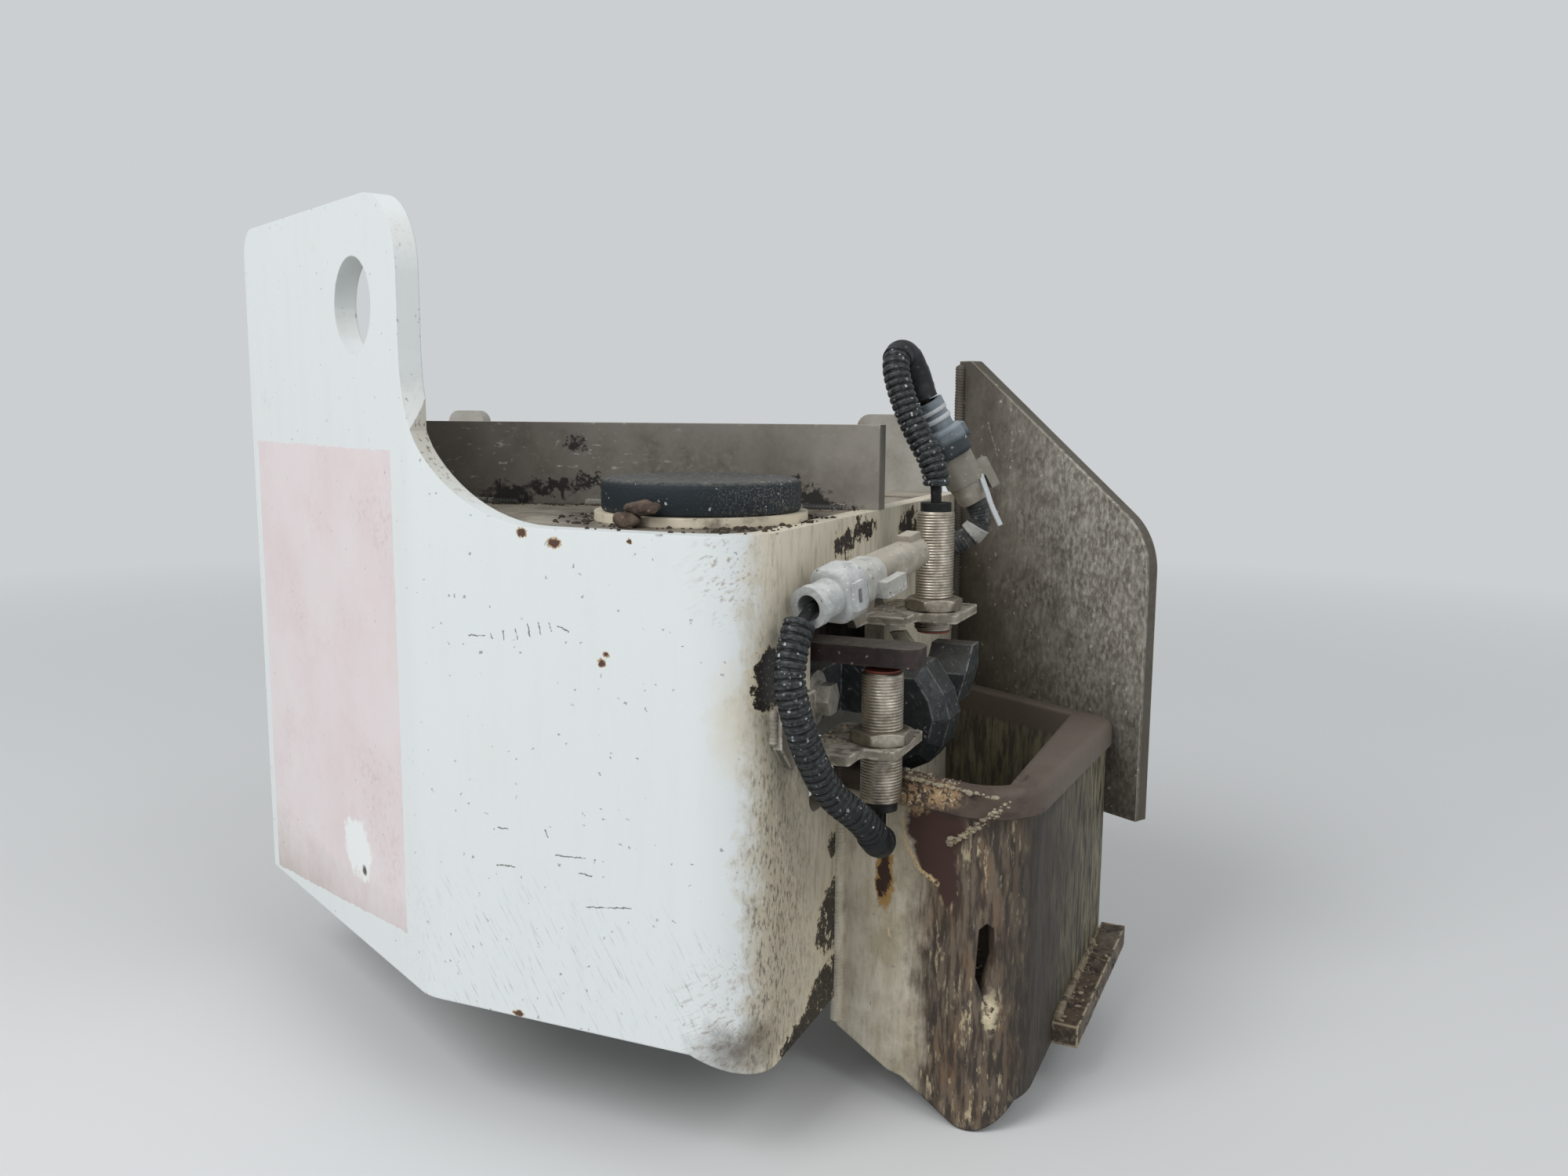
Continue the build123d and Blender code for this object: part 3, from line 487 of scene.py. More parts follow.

# %% [markdown]
# The pocket wears hardest, so it gets the longest stack: brown-black grime with cream flakes, a crust
# round a smooth rusty patch, a dark rim, peeled paint and a gash, with painted shade where the wall
# turns in at the fold and a painted highlight along the near wall's foot.

# %% Wear in the pocket


def end_wear(tree):
    """Mottled grey, brown-black towards the guard and the foot; only the front arris is bare and pale."""
    cloudy = slope(tree, (22, 270, 0), (60, 248, 0))
    pale = slope(tree, (22, 270, 0), (78, 236, 0), wobble=0.4, size=24, seed=7)
    lines = [
        ((41, 258, -62), (53, 252, -75)), ((45, 257, -81), (37, 262, -107)),
        ((73, 240, -103), (90, 230, -91)), ((7, 280, -75), (18, 273, -56)),
        ((20, 273, 40), (27, 269, 22)),
    ]
    return [
        (patchy(tree, cloudy, 15, 0.45, 0.62, seed=38), 0.5, "#A9A49B"),
        (patchy(tree, pale, 2.2, 0.42, 0.66, tall=1.8, seed=6), 0.8, "#BFBBB3"),
        (spread(tree, 2.4, 0.46, 0.68, tall=2, seed=8), 0.5, "#4C453B"),
        (slope(tree, (46, 256, 0), (4, 281, 0), size=20, seed=5), 0.75, "#3D362E"),
        (slope(tree, (60, 240, -50), (60, 240, -125), size=24, seed=9), 0.65, "#3F382F"),
        (specks(tree, 4, 0.6, 0.14, seed=6), 0.7, "#BDB9AF"),
        (strokes(tree, lines, 0.5, ragged=1.2), 0.6, "#B5B1A6"),
        (slope(tree, (0.6, 286, 0), (1.2, 287, 0), wobble=0), 0.9, "#4B453C"),
        (worn_edges(tree, 0.7), 0.8, "#C9C1AC"),
    ]


def pocket_wear(tree):
    """Cream near the guard, then brown-black with cream flakes; smooth dark rust under the near rim."""
    brown = slope(tree, (36, 86, 0), (50, 81, 0), wobble=0.4, size=14, seed=8)
    black = patchy(tree, brown, 3, 0.44, 0.58, tall=6, seed=9)
    cream = patchy(tree, brown, 2, 0.56, 0.64, tall=4, seed=12)
    inward_rust_and_shade = slope(tree, (84, 74, 0), (91, 92, 0), wobble=0.15, size=15, seed=9)
    far = slope(tree, (92, 115, 0), (99, 220, 0), size=22, seed=15)
    smooth = [((50, 82, -128), (17, 9, 13)), ((50, 81, -140), (11, 8, 12)), ((57, 79, -152), (5, 6, 10))]
    arc = [(34, 87, -128), (35, 86, -139), (43, 84, -149), (52, 81, -153)]
    ridge = [(57, 79, -134), (68, 75.5, -125), (84, 71, -112)]
    crust = strokes(tree, [*zip(arc, arc[1:]), *zip(ridge, ridge[1:])], 1.5, ragged=1)
    rim = slope(tree, (60, 0, -123), (60, 0, -120), wobble=0.2, size=8, seed=10)
    pale_end = slope(tree, (84, 76, 0), (95, 130, 0), size=20, seed=26)
    peel_spots = [((38, 84, -117), (9, 9, 7)), ((52, 80, -113), (10, 9, 4))]
    peeled = patchy(tree, blots(tree, peel_spots, ragged=3, soft=0.5), 2.6, 0.46, 0.52, seed=11)
    flake_spots = [((77, 74, -206), (3.6, 7, 11)), ((28, 88.6, -181), (0.8, 5, 3))]
    flakes = blots(tree, flake_spots, ragged=1.6, grain=4)
    gash_spots = [((25, 90, -155), (2.8, 6, 11)), ((22.5, 91, -163), (1.6, 6, 5))]
    gash = blots(tree, gash_spots, ragged=2.2, grain=5, soft=0.9)
    return [
        (spread(tree, 9, 0.48, 0.68, tall=5, seed=14), 0.45, "#A3967A"),
        (spread(tree, 2.2, 0.5, 0.7, tall=5, seed=33), 0.5, "#9A8F76"),
        (brown, 0.95, "#5E5042"),
        (patchy(tree, brown, 9, 0.5, 0.68, tall=4, seed=31), 0.55, "#7B5B3E"),
        (black, 0.85, "#2A231F"),
        (patchy(tree, cream, 16, 0.42, 0.6, tall=2, seed=13), 0.9, "#BBAC8D"),
        # Brown-black rust and painted shade: the wall is darkened where it turns in at the fold.
        (inward_rust_and_shade, 0.92, "#39322B"),
        (both_of(tree, inward_rust_and_shade, black), 0.5, "#1F1A17"),
        (patchy(tree, far, 3.4, 0.4, 0.6, tall=5, seed=16), 0.8, "#8F886F"),
        (blots(tree, smooth, ragged=2.2, grain=7, soft=0.12), 1, "#3E2722"),
        (patchy(tree, crust, 1.4, 0.44, 0.5, seed=25), 1, "#CDB288"),
        (rim, 1, "#53463D"),
        (patchy(tree, rim, 5, 0.5, 0.7, wide=2, deep=2, seed=30), 1, "#3F302A"),
        (both_of(tree, rim, pale_end), 0.7, "#6E645B"),
        (peeled, 1, "#B59570"),
        (patchy(tree, peeled, 1.6, 0.56, 0.6, seed=28), 1, "#E3D6B9"),
        # A pale painted highlight along the near wall's foot, in place of the plate's lit edge.
        (strokes(tree, [((-5, 99.6, -235), (70, 74.6, -267))], 3, ragged=1), 0.9, "#C0B294"),
        (patchy(tree, flakes, 3, 0.42, 0.48, seed=27), 1, "#D2C5A5"),
        *rimmed(tree, gash, "#A5834F", "#35211B", 0.45),
    ]


def shelf_dust_and_shade(tree):
    """Dust lies on top, with darker patches in it; painted shade darkens the side that looks down, and the
    front arris is chipped bright.
    """
    top = facing(tree, UP)
    return [
        (top, 0.5, "#B3ADA1"),
        (patchy(tree, top, 5, 0.46, 0.6, seed=29), 0.8, "#4A443D"),
        # Painted shade: the side that looks down is darkened.
        (facing(tree, DOWN), 0.8, "#2E2A26"),
    ]


print("wear for the end plate, the pocket and the shelves")

# %% [markdown]
# Now every plate gets its own enamel: a base colour, the colour of its grime, two numbers from clean to
# filthy, a seed that shifts the clouds, their size, and the layers of wear, painted light and painted
# shade that belong to it.

# %% Enamel on every plate
dress(enamel("white_enamel_guard", "#E1E6E6", "#C6C4BA", 0.66, 1, more=guard_wear), "guard_plate")
inner_enamel = enamel("white_enamel_inner", "#A9A79F", "#6F675A", 0.4, 0.8, 5)
dress(inner_enamel, "back_plate", "left_return")
dress(enamel("oily_enamel_inner", "#6E685F", "#2A2622", 0.3, 0.6, 7, 18), "pivot_carrier")
dress(enamel("white_enamel_deck", "#A79F90", "#4F463D", 0.4, 0.66, 9, 30, deck_wear), "deck_plate")
dress(enamel("cream_seat_enamel", "#D6CCB6", "#4B4239", 0.5, 0.7, 10, 22), "pad_seat")
strap_enamel = enamel("enamel_strap", "#77736C", "#4E483F", 0.45, 0.8, 13, 26, strap_wear, "#B5AE9F")
dress(strap_enamel, "strap_plate")
end_enamel = enamel("enamel_end_plate", "#7A756B", "#595247", 0.4, 0.7, 17, 22, end_wear, matt=0.65)
dress(end_enamel, "end_plate")
pocket_enamel = enamel(
    "enamel_pocket", "#D2CBBA", "#A0977F", 0.45, 0.75, 21, 24, pocket_wear, matt=0.7, streak=0.4
)
dress(pocket_enamel, "pocket_wall")
dress(enamel("dirty_pocket_floor", "#3E342B", "#1F1915", 0.35, 0.65, 22, 14), "pocket_floor")
bar_enamel = enamel("rusted_bar", "#5E5042", "#2C221B", 0.35, 0.65, 23, 9, edge="#D2C4A2", chip=0.45)
dress(bar_enamel, "pocket_bar")
shelf_enamel = enamel(
    "enamel_shelf", "#9A9387", "#57503F", 0.4, 0.7, 25, 16, shelf_dust_and_shade, "#DCD6C6", chip=0.45
)
dress(shelf_enamel, "lower_shelf", "upper_shelf")
brace_enamel = enamel("enamel_brace", "#A69D8A", "#4A443B", 0.45, 0.7, 29, 10, edge="#D8D0BC", chip=0.45)
dress(brace_enamel, "lever_brace")
print(len(bpy.data.materials), "materials with the enamels")

# %% [markdown]
# Small metal parts: nickel-plated brass barrels, a zinc-plated bolt and a grey iron casting. Handling
# polishes a casting's edges first, so a bright line follows them.

# %% Metals


def metal(name, base, dark, rough, seed=0.0, amount=1.0, bright=None):
    """Plain plated or cast metal with a dull film in its hollows and, if asked, bright edges."""
    made, tree, shader = surface(name, {"Metallic": amount})
    film = spread(tree, 5, 0.35, 0.75, seed=seed)
    layers = [
        (film, 1, dark),
        (spread(tree, 1.2, 0.6, 0.7, wide=5, seed=seed + 2, turn=0.8), 0.4, bright or "#C9C3B6"),
        (specks(tree, 3, 0.25, 0.16, seed=seed), 1, "#8F8B82"),
        (facing(tree, UP, 0.5, 1), 0.25, "#A39D92"),
    ]
    if bright:
        layers.append((patchy(tree, worn_edges(tree, 1.4), 6, 0.42, 0.55, seed=seed + 1), 0.9, bright))
    dull = add(tree, "MapRange", {"Value": film, "To Min": rough, "To Max": min(1, rough + 0.3)})
    paint_on(tree, shader, coats(tree, base, layers), dull, film, 0.08, 0.4)
    return made


nickel = metal("nickel_plate", "#BDB5A8", "#7A7164", 0.36)
dress(nickel, "lower_sensor", "upper_sensor")
dress(metal("dull_nickel_plate", "#B3AC9F", "#857D70", 0.5, 3, 0.6), "lower_nut", "upper_nut")
zinc = metal("zinc_plate", "#CDC9BF", "#8E8A80", 0.5, 4, 0.35)
dress(zinc, "pivot_bolt", "pivot_nut", "flat_washer", "spring_washer")
dress(metal("grey_iron", "#3B3E40", "#1D1F20", 0.5, 7, 0.2, "#A9ABAA"), "trip_lever", "lever_tip")
dress(metal("rusted_strip", "#2F1F1D", "#191110", 0.42, 11, 0, "#55443D"), "lever_flag")
print(len(bpy.data.materials), "materials with the metals")

# %% [markdown]
# Plastics and rubber: black cable jackets, ribbed sleeves, connectors and the pad. All of them wear pale
# dust, and the side that looks up is paler still, partly dust and partly a painted highlight; none of
# them is very shiny.

# %% Plastics and rubber


def moulding(
    name, base, dust_and_highlight, low, high, rough=0.55, seed=0.0,
    more=None, grit=0.25, top=0.0, relief=0.05, soften=0.6,
):
    """Moulded plastic or rubber with pale dust settled on it; the top is paler still, partly dust and partly
    a painted highlight.
    """
    made, tree, shader = surface(name, {"IOR": 1.5, "Specular IOR Level": 0.3})
    film = spread(tree, 7, low, high, seed=seed)
    layers = [(film, 0.6, dust_and_highlight)]
    # Painted highlight and dust: the side that looks up takes the pale colour, as strongly as top asks.
    if top:
        layers.append((facing(tree, (0.1, -0.2, 1), 0, 0.9), top, dust_and_highlight))
    layers += more(tree) if more else []
    dots = specks(tree, 1.8, grit, 0.3, seed=seed)
    layers += [
        (patchy(tree, dots, 9, 0.4, 0.55, seed=seed + 1), 1, dust_and_highlight),
        (patchy(tree, worn_edges(tree, 0.8), 4, 0.48, 0.6, seed=seed + 2), 0.7, dust_and_highlight),
    ]
    dull = add(tree, "MapRange", {"Value": film, "To Min": rough, "To Max": 0.9})
    grain = spread(tree, 0.9, 0.3, 0.7, seed=seed)
    paint_on(tree, shader, coats(tree, base, layers), dull, grain, relief, soften)
    return made


def rib_shade_highlight_and_dust(tree):
    """Grooves are kept black as painted shade; every crest has a faint grey painted highlight, and high up
    the crests are rubbed grey and carry the dust.
    """
    curve = add(tree, "NewGeometry", out="Pointiness")
    crest = patchy(tree, cut(tree, curve, 0.51, 0.6), 1.8, 0.42, 0.6, seed=55)
    high_up = slope(tree, (0, 0, -125), (0, 0, -85), wobble=0.1)
    return [
        # Painted shade blackens the grooves; a faint painted highlight greys every crest.
        (cut(tree, curve, 0.51, 0.47), 1, "#030404"),
        (cut(tree, curve, 0.52, 0.57), 0.35, "#565C5E"),
        (both_of(tree, crest, high_up), 0.7, "#7F8586"),
    ]


def pad_wear(tree):
    """Ground-in grit over the top and white specks that thicken to the right."""
    right = blots(tree, [((-12, 58, 10), (22, 34, 14))], ragged=5, soft=0.6)
    return [
        (patchy(tree, facing(tree, UP, 0.5, 0.95), 2.2, 0.3, 0.6, seed=50), 0.8, "#66655F"),
        (patchy(tree, right, 0.9, 0.5, 0.66, seed=51), 0.7, "#7B7872"),
        (specks(tree, 2.8, 0.5, 0.14, seed=52), 0.9, "#C9C8C1"),
    ]


def hood_painted_shade(tree):
    """Painted shade: the upper hood is darkened below its shoulder and on the side towards the guard."""
    below = slope(tree, (21.4, 179.2, 33.2), (22.6, 179.8, 30.6), wobble=0.1, size=6)
    return [(below, 0.9, "#2B3033"), (facing(tree, (-0.8, -0.5, -0.2), 0.2, 0.8), 0.8, "#2B3033")]


def hood_wear(tree):
    """A pale hood, darker and browner on the side that looks down, with grey clouds and dark specks of dirt.
    """
    return [
        (patchy(tree, facing(tree, DOWN, 0.1, 0.8), 4, 0.35, 0.6, seed=53), 0.7, "#857C6C"),
        (spread(tree, 3, 0.52, 0.66, wide=2, deep=2, seed=57), 0.5, "#8B8D8B"),
        (specks(tree, 2.6, 0.5, 0.15, seed=54), 1, "#5B5348"),
    ]


black_jacket = moulding("black_cable_jacket", "#0F1011", "#4B4B4A", 0.55, 0.85)
dress(black_jacket, "lower_lead", "upper_lead", "tail_lead", "lower_boot", "upper_boot")
black_sleeve = moulding(
    "black_ribbed_nylon", "#080B0E", "#B4B8B8", 0.75, 1.1, 0.4, 3, rib_shade_highlight_and_dust, 0.35, soften=0.2
)
dress(black_sleeve, "lower_sleeve", "upper_sleeve")
black_tape = moulding("black_vinyl_tape", "#16191B", "#5A5D5E", 0.5, 0.9, 0.5, 4, grit=0.1)
tail_sleeve = moulding("ribbed_tail_nylon", "#303335", "#8A8983", 0.45, 0.8, 0.6, 5, soften=0.2)
pad_rubber = moulding("black_bump_rubber", "#1B242A", "#A6A6A1", 0.7, 1, 0.6, 6, pad_wear, 0, relief=0.12)
dress(pad_rubber, "rubber_pad")
# The pale hood, the plugs and the socket are paler on top, partly dust and partly painted highlight.
hood_grey = moulding("pale_grey_hood", "#A9ACAC", "#D6D8D6", 0.45, 0.75, 0.5, 8, hood_wear, top=0.5)
dress(hood_grey, "lower_backshell")
plug_grey = moulding("dusted_grey_plug", "#A09F9A", "#D2D1CB", 0.45, 0.75, 0.55, 15, hood_wear, top=0.5)
dress(plug_grey, "lower_plug")
socket_beige = moulding("beige_socket", "#958D80", "#C4BEB1", 0.45, 0.75, 0.6, 16, hood_wear, top=0.4)
dress(socket_beige, "lower_socket", "upper_socket")
# The blue-grey hood has painted shade below its shoulder and a painted highlight on top.
upper_grey = moulding("blue_grey_hood", "#59636A", "#9CA6AC", 0.45, 0.8, 0.5, 9, hood_painted_shade, top=0.7)
dress(upper_grey, "upper_backshell")
dress(moulding("grey_beige_plug", "#7F7B71", "#A8A498", 0.5, 0.85, 0.55, 10, top=0.4), "upper_plug")
red_face = moulding("red_sensor_face", "#8E4B3C", "#6A564C", 0.45, 0.8, seed=12)
dress(red_face, "lower_sensor_face", "upper_sensor_face")
tie_white = moulding("white_tie_nylon", "#BCC1C4", "#A8A6A0", 0.5, 0.8, seed=14)
print(len(bpy.data.materials), "materials with the plastics")

# %% [markdown]
# The next pieces replace plain solids by finer ones. Each is a skin of rings: a list of rows, every row
# a ring of points, stitched to the next row. A ring tool is all that threads, sleeves and nuts need.

# %% Skins from rings


def skin(name, rows, material, stands_for=(), smooth=True, ends=True):
    """A mesh from rings of points, in metres; neighbouring rings are stitched together."""
    count = len(rows[0])
    points = [point for row in rows for point in row]
    faces = []
    for low in range(0, len(points) - count, count):
        for spot in range(count):
            after = (spot + 1) % count
            faces.append((low + spot, low + after, low + count + after, low + count + spot))
    if ends:
        faces.append(tuple(reversed(range(count))))
        faces.append(tuple(range(len(points) - count, len(points))))
    mesh = bpy.data.meshes.new(name)
    mesh.from_pydata(points, [], faces)
    mesh.validate()
    for face in mesh.polygons:
        face.use_smooth = smooth and len(face.vertices) == 4
    return wear(name, mesh, material, stands_for)


def wear(name, mesh, material, stands_for=(), body="root"):
    """Put a finished mesh in the scene, on its body, in place of the solids that it stands for."""
    mesh.materials.append(material)
    made = bpy.data.objects.new(name, mesh)
    bpy.context.scene.collection.objects.link(made)
    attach(made, body)
    if stands_for:
        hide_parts(*stands_for)
    return made


def ring(frame_at, radius_at, steps):
    """Points round a frame's axis; the radius is a number or changes with the angle."""
    row = []
    for step in range(steps):
        angle = math.tau * step / steps
        radius = (radius_at(angle) if callable(radius_at) else radius_at) * MM
        row.append(frame_at @ Vector((radius * math.cos(angle), radius * math.sin(angle), 0)))
    return row


def above(base, height):
    """A frame moved up its own axis by height millimetres."""
    return base @ Matrix.Translation((0, 0, height * MM))


def lathe(base, profile, steps=48):
    """Rings for a turned part: the profile is a list of (height, radius) in millimetres."""
    return [ring(above(base, height), radius, steps) for height, radius in profile]


def upright(across, depth, height, up=1):
    """A frame at a place on the guard, its axis up or down."""
    turn = Matrix.Identity(4) if up > 0 else Matrix.Rotation(math.pi, 4, "X")
    return Matrix.Translation(place(across, depth, height)) @ turn


print("a test ring has", len(ring(upright(0, 0, 0), 5, 8)), "points")

# %% [markdown]
# Each sensor is an M18 barrel. A real thread is a helix, and here it is one: the radius of every ring
# depends on its height and on the angle, so the groove climbs one pitch in each turn.

# %% Threaded barrels and nuts
SENSOR_ACROSS = 27
LOWER_DEPTH = 76
UPPER_DEPTH = 150
LOWER_FACE = -60.5
UPPER_FACE = -56.5
BARREL_LENGTH = 57
BARREL_RADIUS = 9.0
FACE_CAP = 1
THREAD_PITCH = 1.3
THREAD_DEPTH = 0.45
LEAD_IN = 1.0
CHAMFER = 0.8
ROWS_PER_PITCH = 5
NUT_FLATS = 24
NUT_HEIGHT = 6
NUT_STEPS = (0, 0.2, 0.45, 0.7, 1.0)
LOWER_SHELF = -92
UPPER_SHELF = -46


def barrel(prefix, depth, face, way):
    """A threaded sensor barrel with plain chamfered ends; way is where the sensor looks."""
    base = upright(SENSOR_ACROSS, depth, face - way * FACE_CAP, -way)
    length = BARREL_LENGTH - FACE_CAP
    count = round(length / THREAD_PITCH * ROWS_PER_PITCH)
    rows = []
    for row in range(count + 1):
        height = length * row / count
        ease = min(1.0, height / LEAD_IN, (length - height) / LEAD_IN)

        def radius_at(angle):
            turn = (height / THREAD_PITCH - angle / math.tau) % 1
            groove = THREAD_DEPTH * abs(2 * turn - 1) ** 1.5
            return BARREL_RADIUS - CHAMFER * (1 - ease) - groove * ease

        rows.append(ring(above(base, height), radius_at, 48))
    skin(f"{prefix}_thread", rows, nickel, [f"{prefix}_sensor"])
    return len(rows)


def hexagon(base, flats, height, bore, steps=72):
    """Rings for a chamfered hexagon with a bore."""
    half = flats / 2

    def side_at(angle):
        return half / math.cos((angle + math.pi / 6) % (math.pi / 3) - math.pi / 6)

    rows = [ring(base, bore, steps)]
    for level in (*NUT_STEPS, *(height - step for step in reversed(NUT_STEPS))):
        limit = half * 0.97 + min(level, height - level) * 2.2
        rows.append(ring(above(base, level), lambda angle: min(side_at(angle), limit), steps))
    return [*rows, ring(above(base, height), bore, steps), rows[0]]


for prefix, depth, face, way, shelf in (
    ("lower", LOWER_DEPTH, LOWER_FACE, 1, LOWER_SHELF),
    ("upper", UPPER_DEPTH, UPPER_FACE, -1, UPPER_SHELF),
):
    print(prefix, "thread rows", barrel(prefix, depth, face, way))
    nut_rows = hexagon(upright(SENSOR_ACROSS, depth, shelf), NUT_FLATS, NUT_HEIGHT, BARREL_RADIUS)
    skin(f"{prefix}_jam_nut", nut_rows, nickel, [f"{prefix}_nut"], ends=False)

# %% [markdown]
# A cable's path is a spline through a few chosen points. The sleeves are corrugated tube, so their
# radius swings once per rib as a ring walks along the spline.

# %% Cable routes
LOWER_LINK = (Vector((11, 31, -29.4)), Vector((30, 109, -14.2)))
UPPER_LINK = (Vector((13.4, 174, 50.3)), Vector((35.5, 188, 3.3)))
LEAD_SOCKET = 12
LEAD_STRAIGHT = 4
TAIL_STRAIGHT = 10
BOOT_HEIGHT = 4
LOWER_ROUTE = [
    (9, 14.5, -49.7), (11.5, 14.5, -64.5), (14, 23, -84.5), (19, 34.5, -105),
    (29, 47, -117.3), (31.5, 63, -133.5), (27, 76, -132.5),
]
UPPER_ROUTE = [
    (27, 150, 20), (16, 150, 38), (8, 151, 56), (3.5, 155, 70), (4.5, 169, 75), (10, 174, 61),
]
TAIL_ROUTE = [(34, 188.5, -14.5), (22, 185.5, -21), (6, 184, -22), (-14, 184, -22)]
lower_axis = (LOWER_LINK[1] - LOWER_LINK[0]).normalized()
upper_axis = (UPPER_LINK[1] - UPPER_LINK[0]).normalized()
lower_points = [
    LOWER_LINK[0] + lower_axis * LEAD_SOCKET,
    LOWER_LINK[0] - lower_axis * LEAD_STRAIGHT,
    *map(Vector, LOWER_ROUTE),
    Vector((SENSOR_ACROSS, LOWER_DEPTH, LOWER_FACE - BARREL_LENGTH - BOOT_HEIGHT)),
]
upper_points = [
    Vector((SENSOR_ACROSS, UPPER_DEPTH, UPPER_FACE + BARREL_LENGTH + BOOT_HEIGHT)),
    *map(Vector, UPPER_ROUTE),
    UPPER_LINK[0] - upper_axis * LEAD_STRAIGHT,
    UPPER_LINK[0] + upper_axis * LEAD_SOCKET,
]
tail_points = [UPPER_LINK[1], UPPER_LINK[1] + upper_axis * TAIL_STRAIGHT, *map(Vector, TAIL_ROUTE)]


def spline(name, points, radius=0.0):
    """One spline through a route's points, in millimetres at the guard's corner."""
    data = bpy.data.curves.new(name, "CURVE")
    data.dimensions = "3D"
    line = data.splines.new("NURBS")
    line.points.add(len(points) - 1)
    for knot, point in zip(line.points, points):
        knot.co = (*place(*point), 1)
    line.order_u = 3
    line.use_endpoint_u = True
    line.resolution_u = 24
    data.bevel_depth = radius * MM
    data.bevel_resolution = 8
    data.use_fill_caps = True
    return data


def walk(name, points):
    """The fine chain of points that a route's spline runs through, in metres."""
    holder = bpy.data.objects.new(name, spline(name, points))
    traced = bpy.data.meshes.new_from_object(holder)
    path = [vertex.co.copy() for vertex in traced.vertices]
    bpy.data.objects.remove(holder)
    bpy.data.meshes.remove(traced)
    return path


def steps_of(path):
    """The lengths between neighbours in a chain of points."""
    return [(b - a).length for a, b in zip(path, path[1:])]


def frames_along(path, spacing):
    """Frames at even spacing along a chain of points, turned as little as the bends allow."""
    steps = steps_of(path)
    whole = sum(steps)
    count = max(2, round(whole / spacing))
    frames = []
    side = None
    walked = 0.0
    piece = 0
    for number in range(count + 1):
        want = whole * number / count
        while piece < len(steps) - 1 and walked + steps[piece] < want:
            walked += steps[piece]
            piece += 1
        share = min(1.0, (want - walked) / max(steps[piece], 1e-9))
        spot = path[piece].lerp(path[piece + 1], share)
        ahead = path[min(piece + 2, len(path) - 1)] - path[max(piece - 1, 0)]
        ahead.normalize()
        if side is None:
            side = ahead.orthogonal().normalized()
        side = (side - ahead * side.dot(ahead)).normalized()
        turn = Matrix((side, ahead.cross(side), ahead)).transposed().to_4x4()
        frames.append(Matrix.Translation(spot) @ turn)
    return frames


ROWS_PER_RIB = 8
OPEN_RIBS = 3
TAPE_STEP = 0.8
TAPE_THICKNESS = 0.9
TAPE_EDGE = 0.3


def sleeve(name, points, stands_for, material, radius=6.4, pitch=3.3, depth=1.0, wall=0.6):
    """Corrugated sleeve along a route: wide round ribs, narrow grooves and a thin open wall."""
    path = walk(name, points)
    frames = frames_along(path, pitch / ROWS_PER_RIB * MM)
    last = len(frames) - 1
    rows = []
    for number, at in enumerate(frames):
        phase = number / ROWS_PER_RIB % 1
        rows.append(ring(at, radius - depth * abs(2 * phase - 1) ** 3, 32))
    inside = [
        ring(frames[spot], radius - depth - wall, 32)
        for spot in (min(last, OPEN_RIBS * ROWS_PER_RIB), 0, last, max(0, last - OPEN_RIBS * ROWS_PER_RIB))
    ]
    skin(name, inside[:2] + rows + inside[2:], material, [stands_for], ends=False)
    print(name, "is", round(sum(steps_of(path)) / MM), "mm long")


def tape(name, points, start, end, radius, material, lap=9):
    """Tape wound over part of a route, from a share of its length to another; every lap shows an edge."""
    frames = frames_along(walk(name, points), TAPE_STEP * MM)
    kept = frames[round(start * len(frames)) : round(end * len(frames))]
    rows = [ring(kept[0], radius - TAPE_THICKNESS, 40)]
    for number, at in enumerate(kept):
        rows.append(
            ring(at, lambda angle: radius - TAPE_EDGE * ((number - lap * angle / math.tau) / lap % 1), 40)
        )
    rows.append(ring(kept[-1], radius - TAPE_THICKNESS, 40))
    skin(name, rows, material)


LEAD_RADIUS = 2.5
TAIL_RADIUS = 5.5
SLEEVE_SHARE = 0.2
for prefix, points in (("lower", lower_points), ("upper", upper_points)):
    line = spline(f"{prefix}_cable", points, LEAD_RADIUS)
    wear(f"{prefix}_cable", line, black_jacket, [f"{prefix}_lead"])
lower_start = lower_points[1].lerp(lower_points[2], SLEEVE_SHARE)
lower_end = lower_points[-3].lerp(lower_points[-2], 0.5)
upper_start = upper_points[1].lerp(upper_points[0], 0.5)
upper_end = upper_points[-2].lerp(upper_points[-3], SLEEVE_SHARE)
lower_route = [lower_start, *lower_points[2:-2], lower_end]
upper_route = [upper_start, *upper_points[1:-2], upper_end]
sleeve("lower_ribbed", lower_route, "lower_sleeve", black_sleeve)
sleeve("upper_ribbed", upper_route, "upper_sleeve", black_sleeve)
sleeve("tail_ribbed", tail_points, "tail_lead", tail_sleeve, TAIL_RADIUS, 1.7, 0.35, 1.2)
tape("upper_tape", upper_points, 0.6, 0.89, 7.1, black_tape)
tape("lower_tape", lower_route, 0.86, 1.0, 6.9, black_tape)
tape("tail_collar", tail_points, 0.19, 0.29, 6.3, plug_grey, 40)

# %% [markdown]
# Nylon ties hold the sleeve in the upper hood. A tie is a narrow band, and the tail of one was cut off
# long, so it curls away from the plug.

# %% Nylon ties
TIE_HEIGHTS = (4.6, 9.2)
TIE_INNER = 7.9
TIE_RADIUS = 8.7
TIE_WIDTH = 2.4
TIE_EDGE = 0.3
TIE_TAIL = [(38.5, 183.5, 18), (43, 181, 9), (46, 180, 1), (50.6, 180, -7.8)]
TAIL_WIDTH = 2.6
TAIL_THICKNESS = 1.0
TAIL_STEP = 1.0


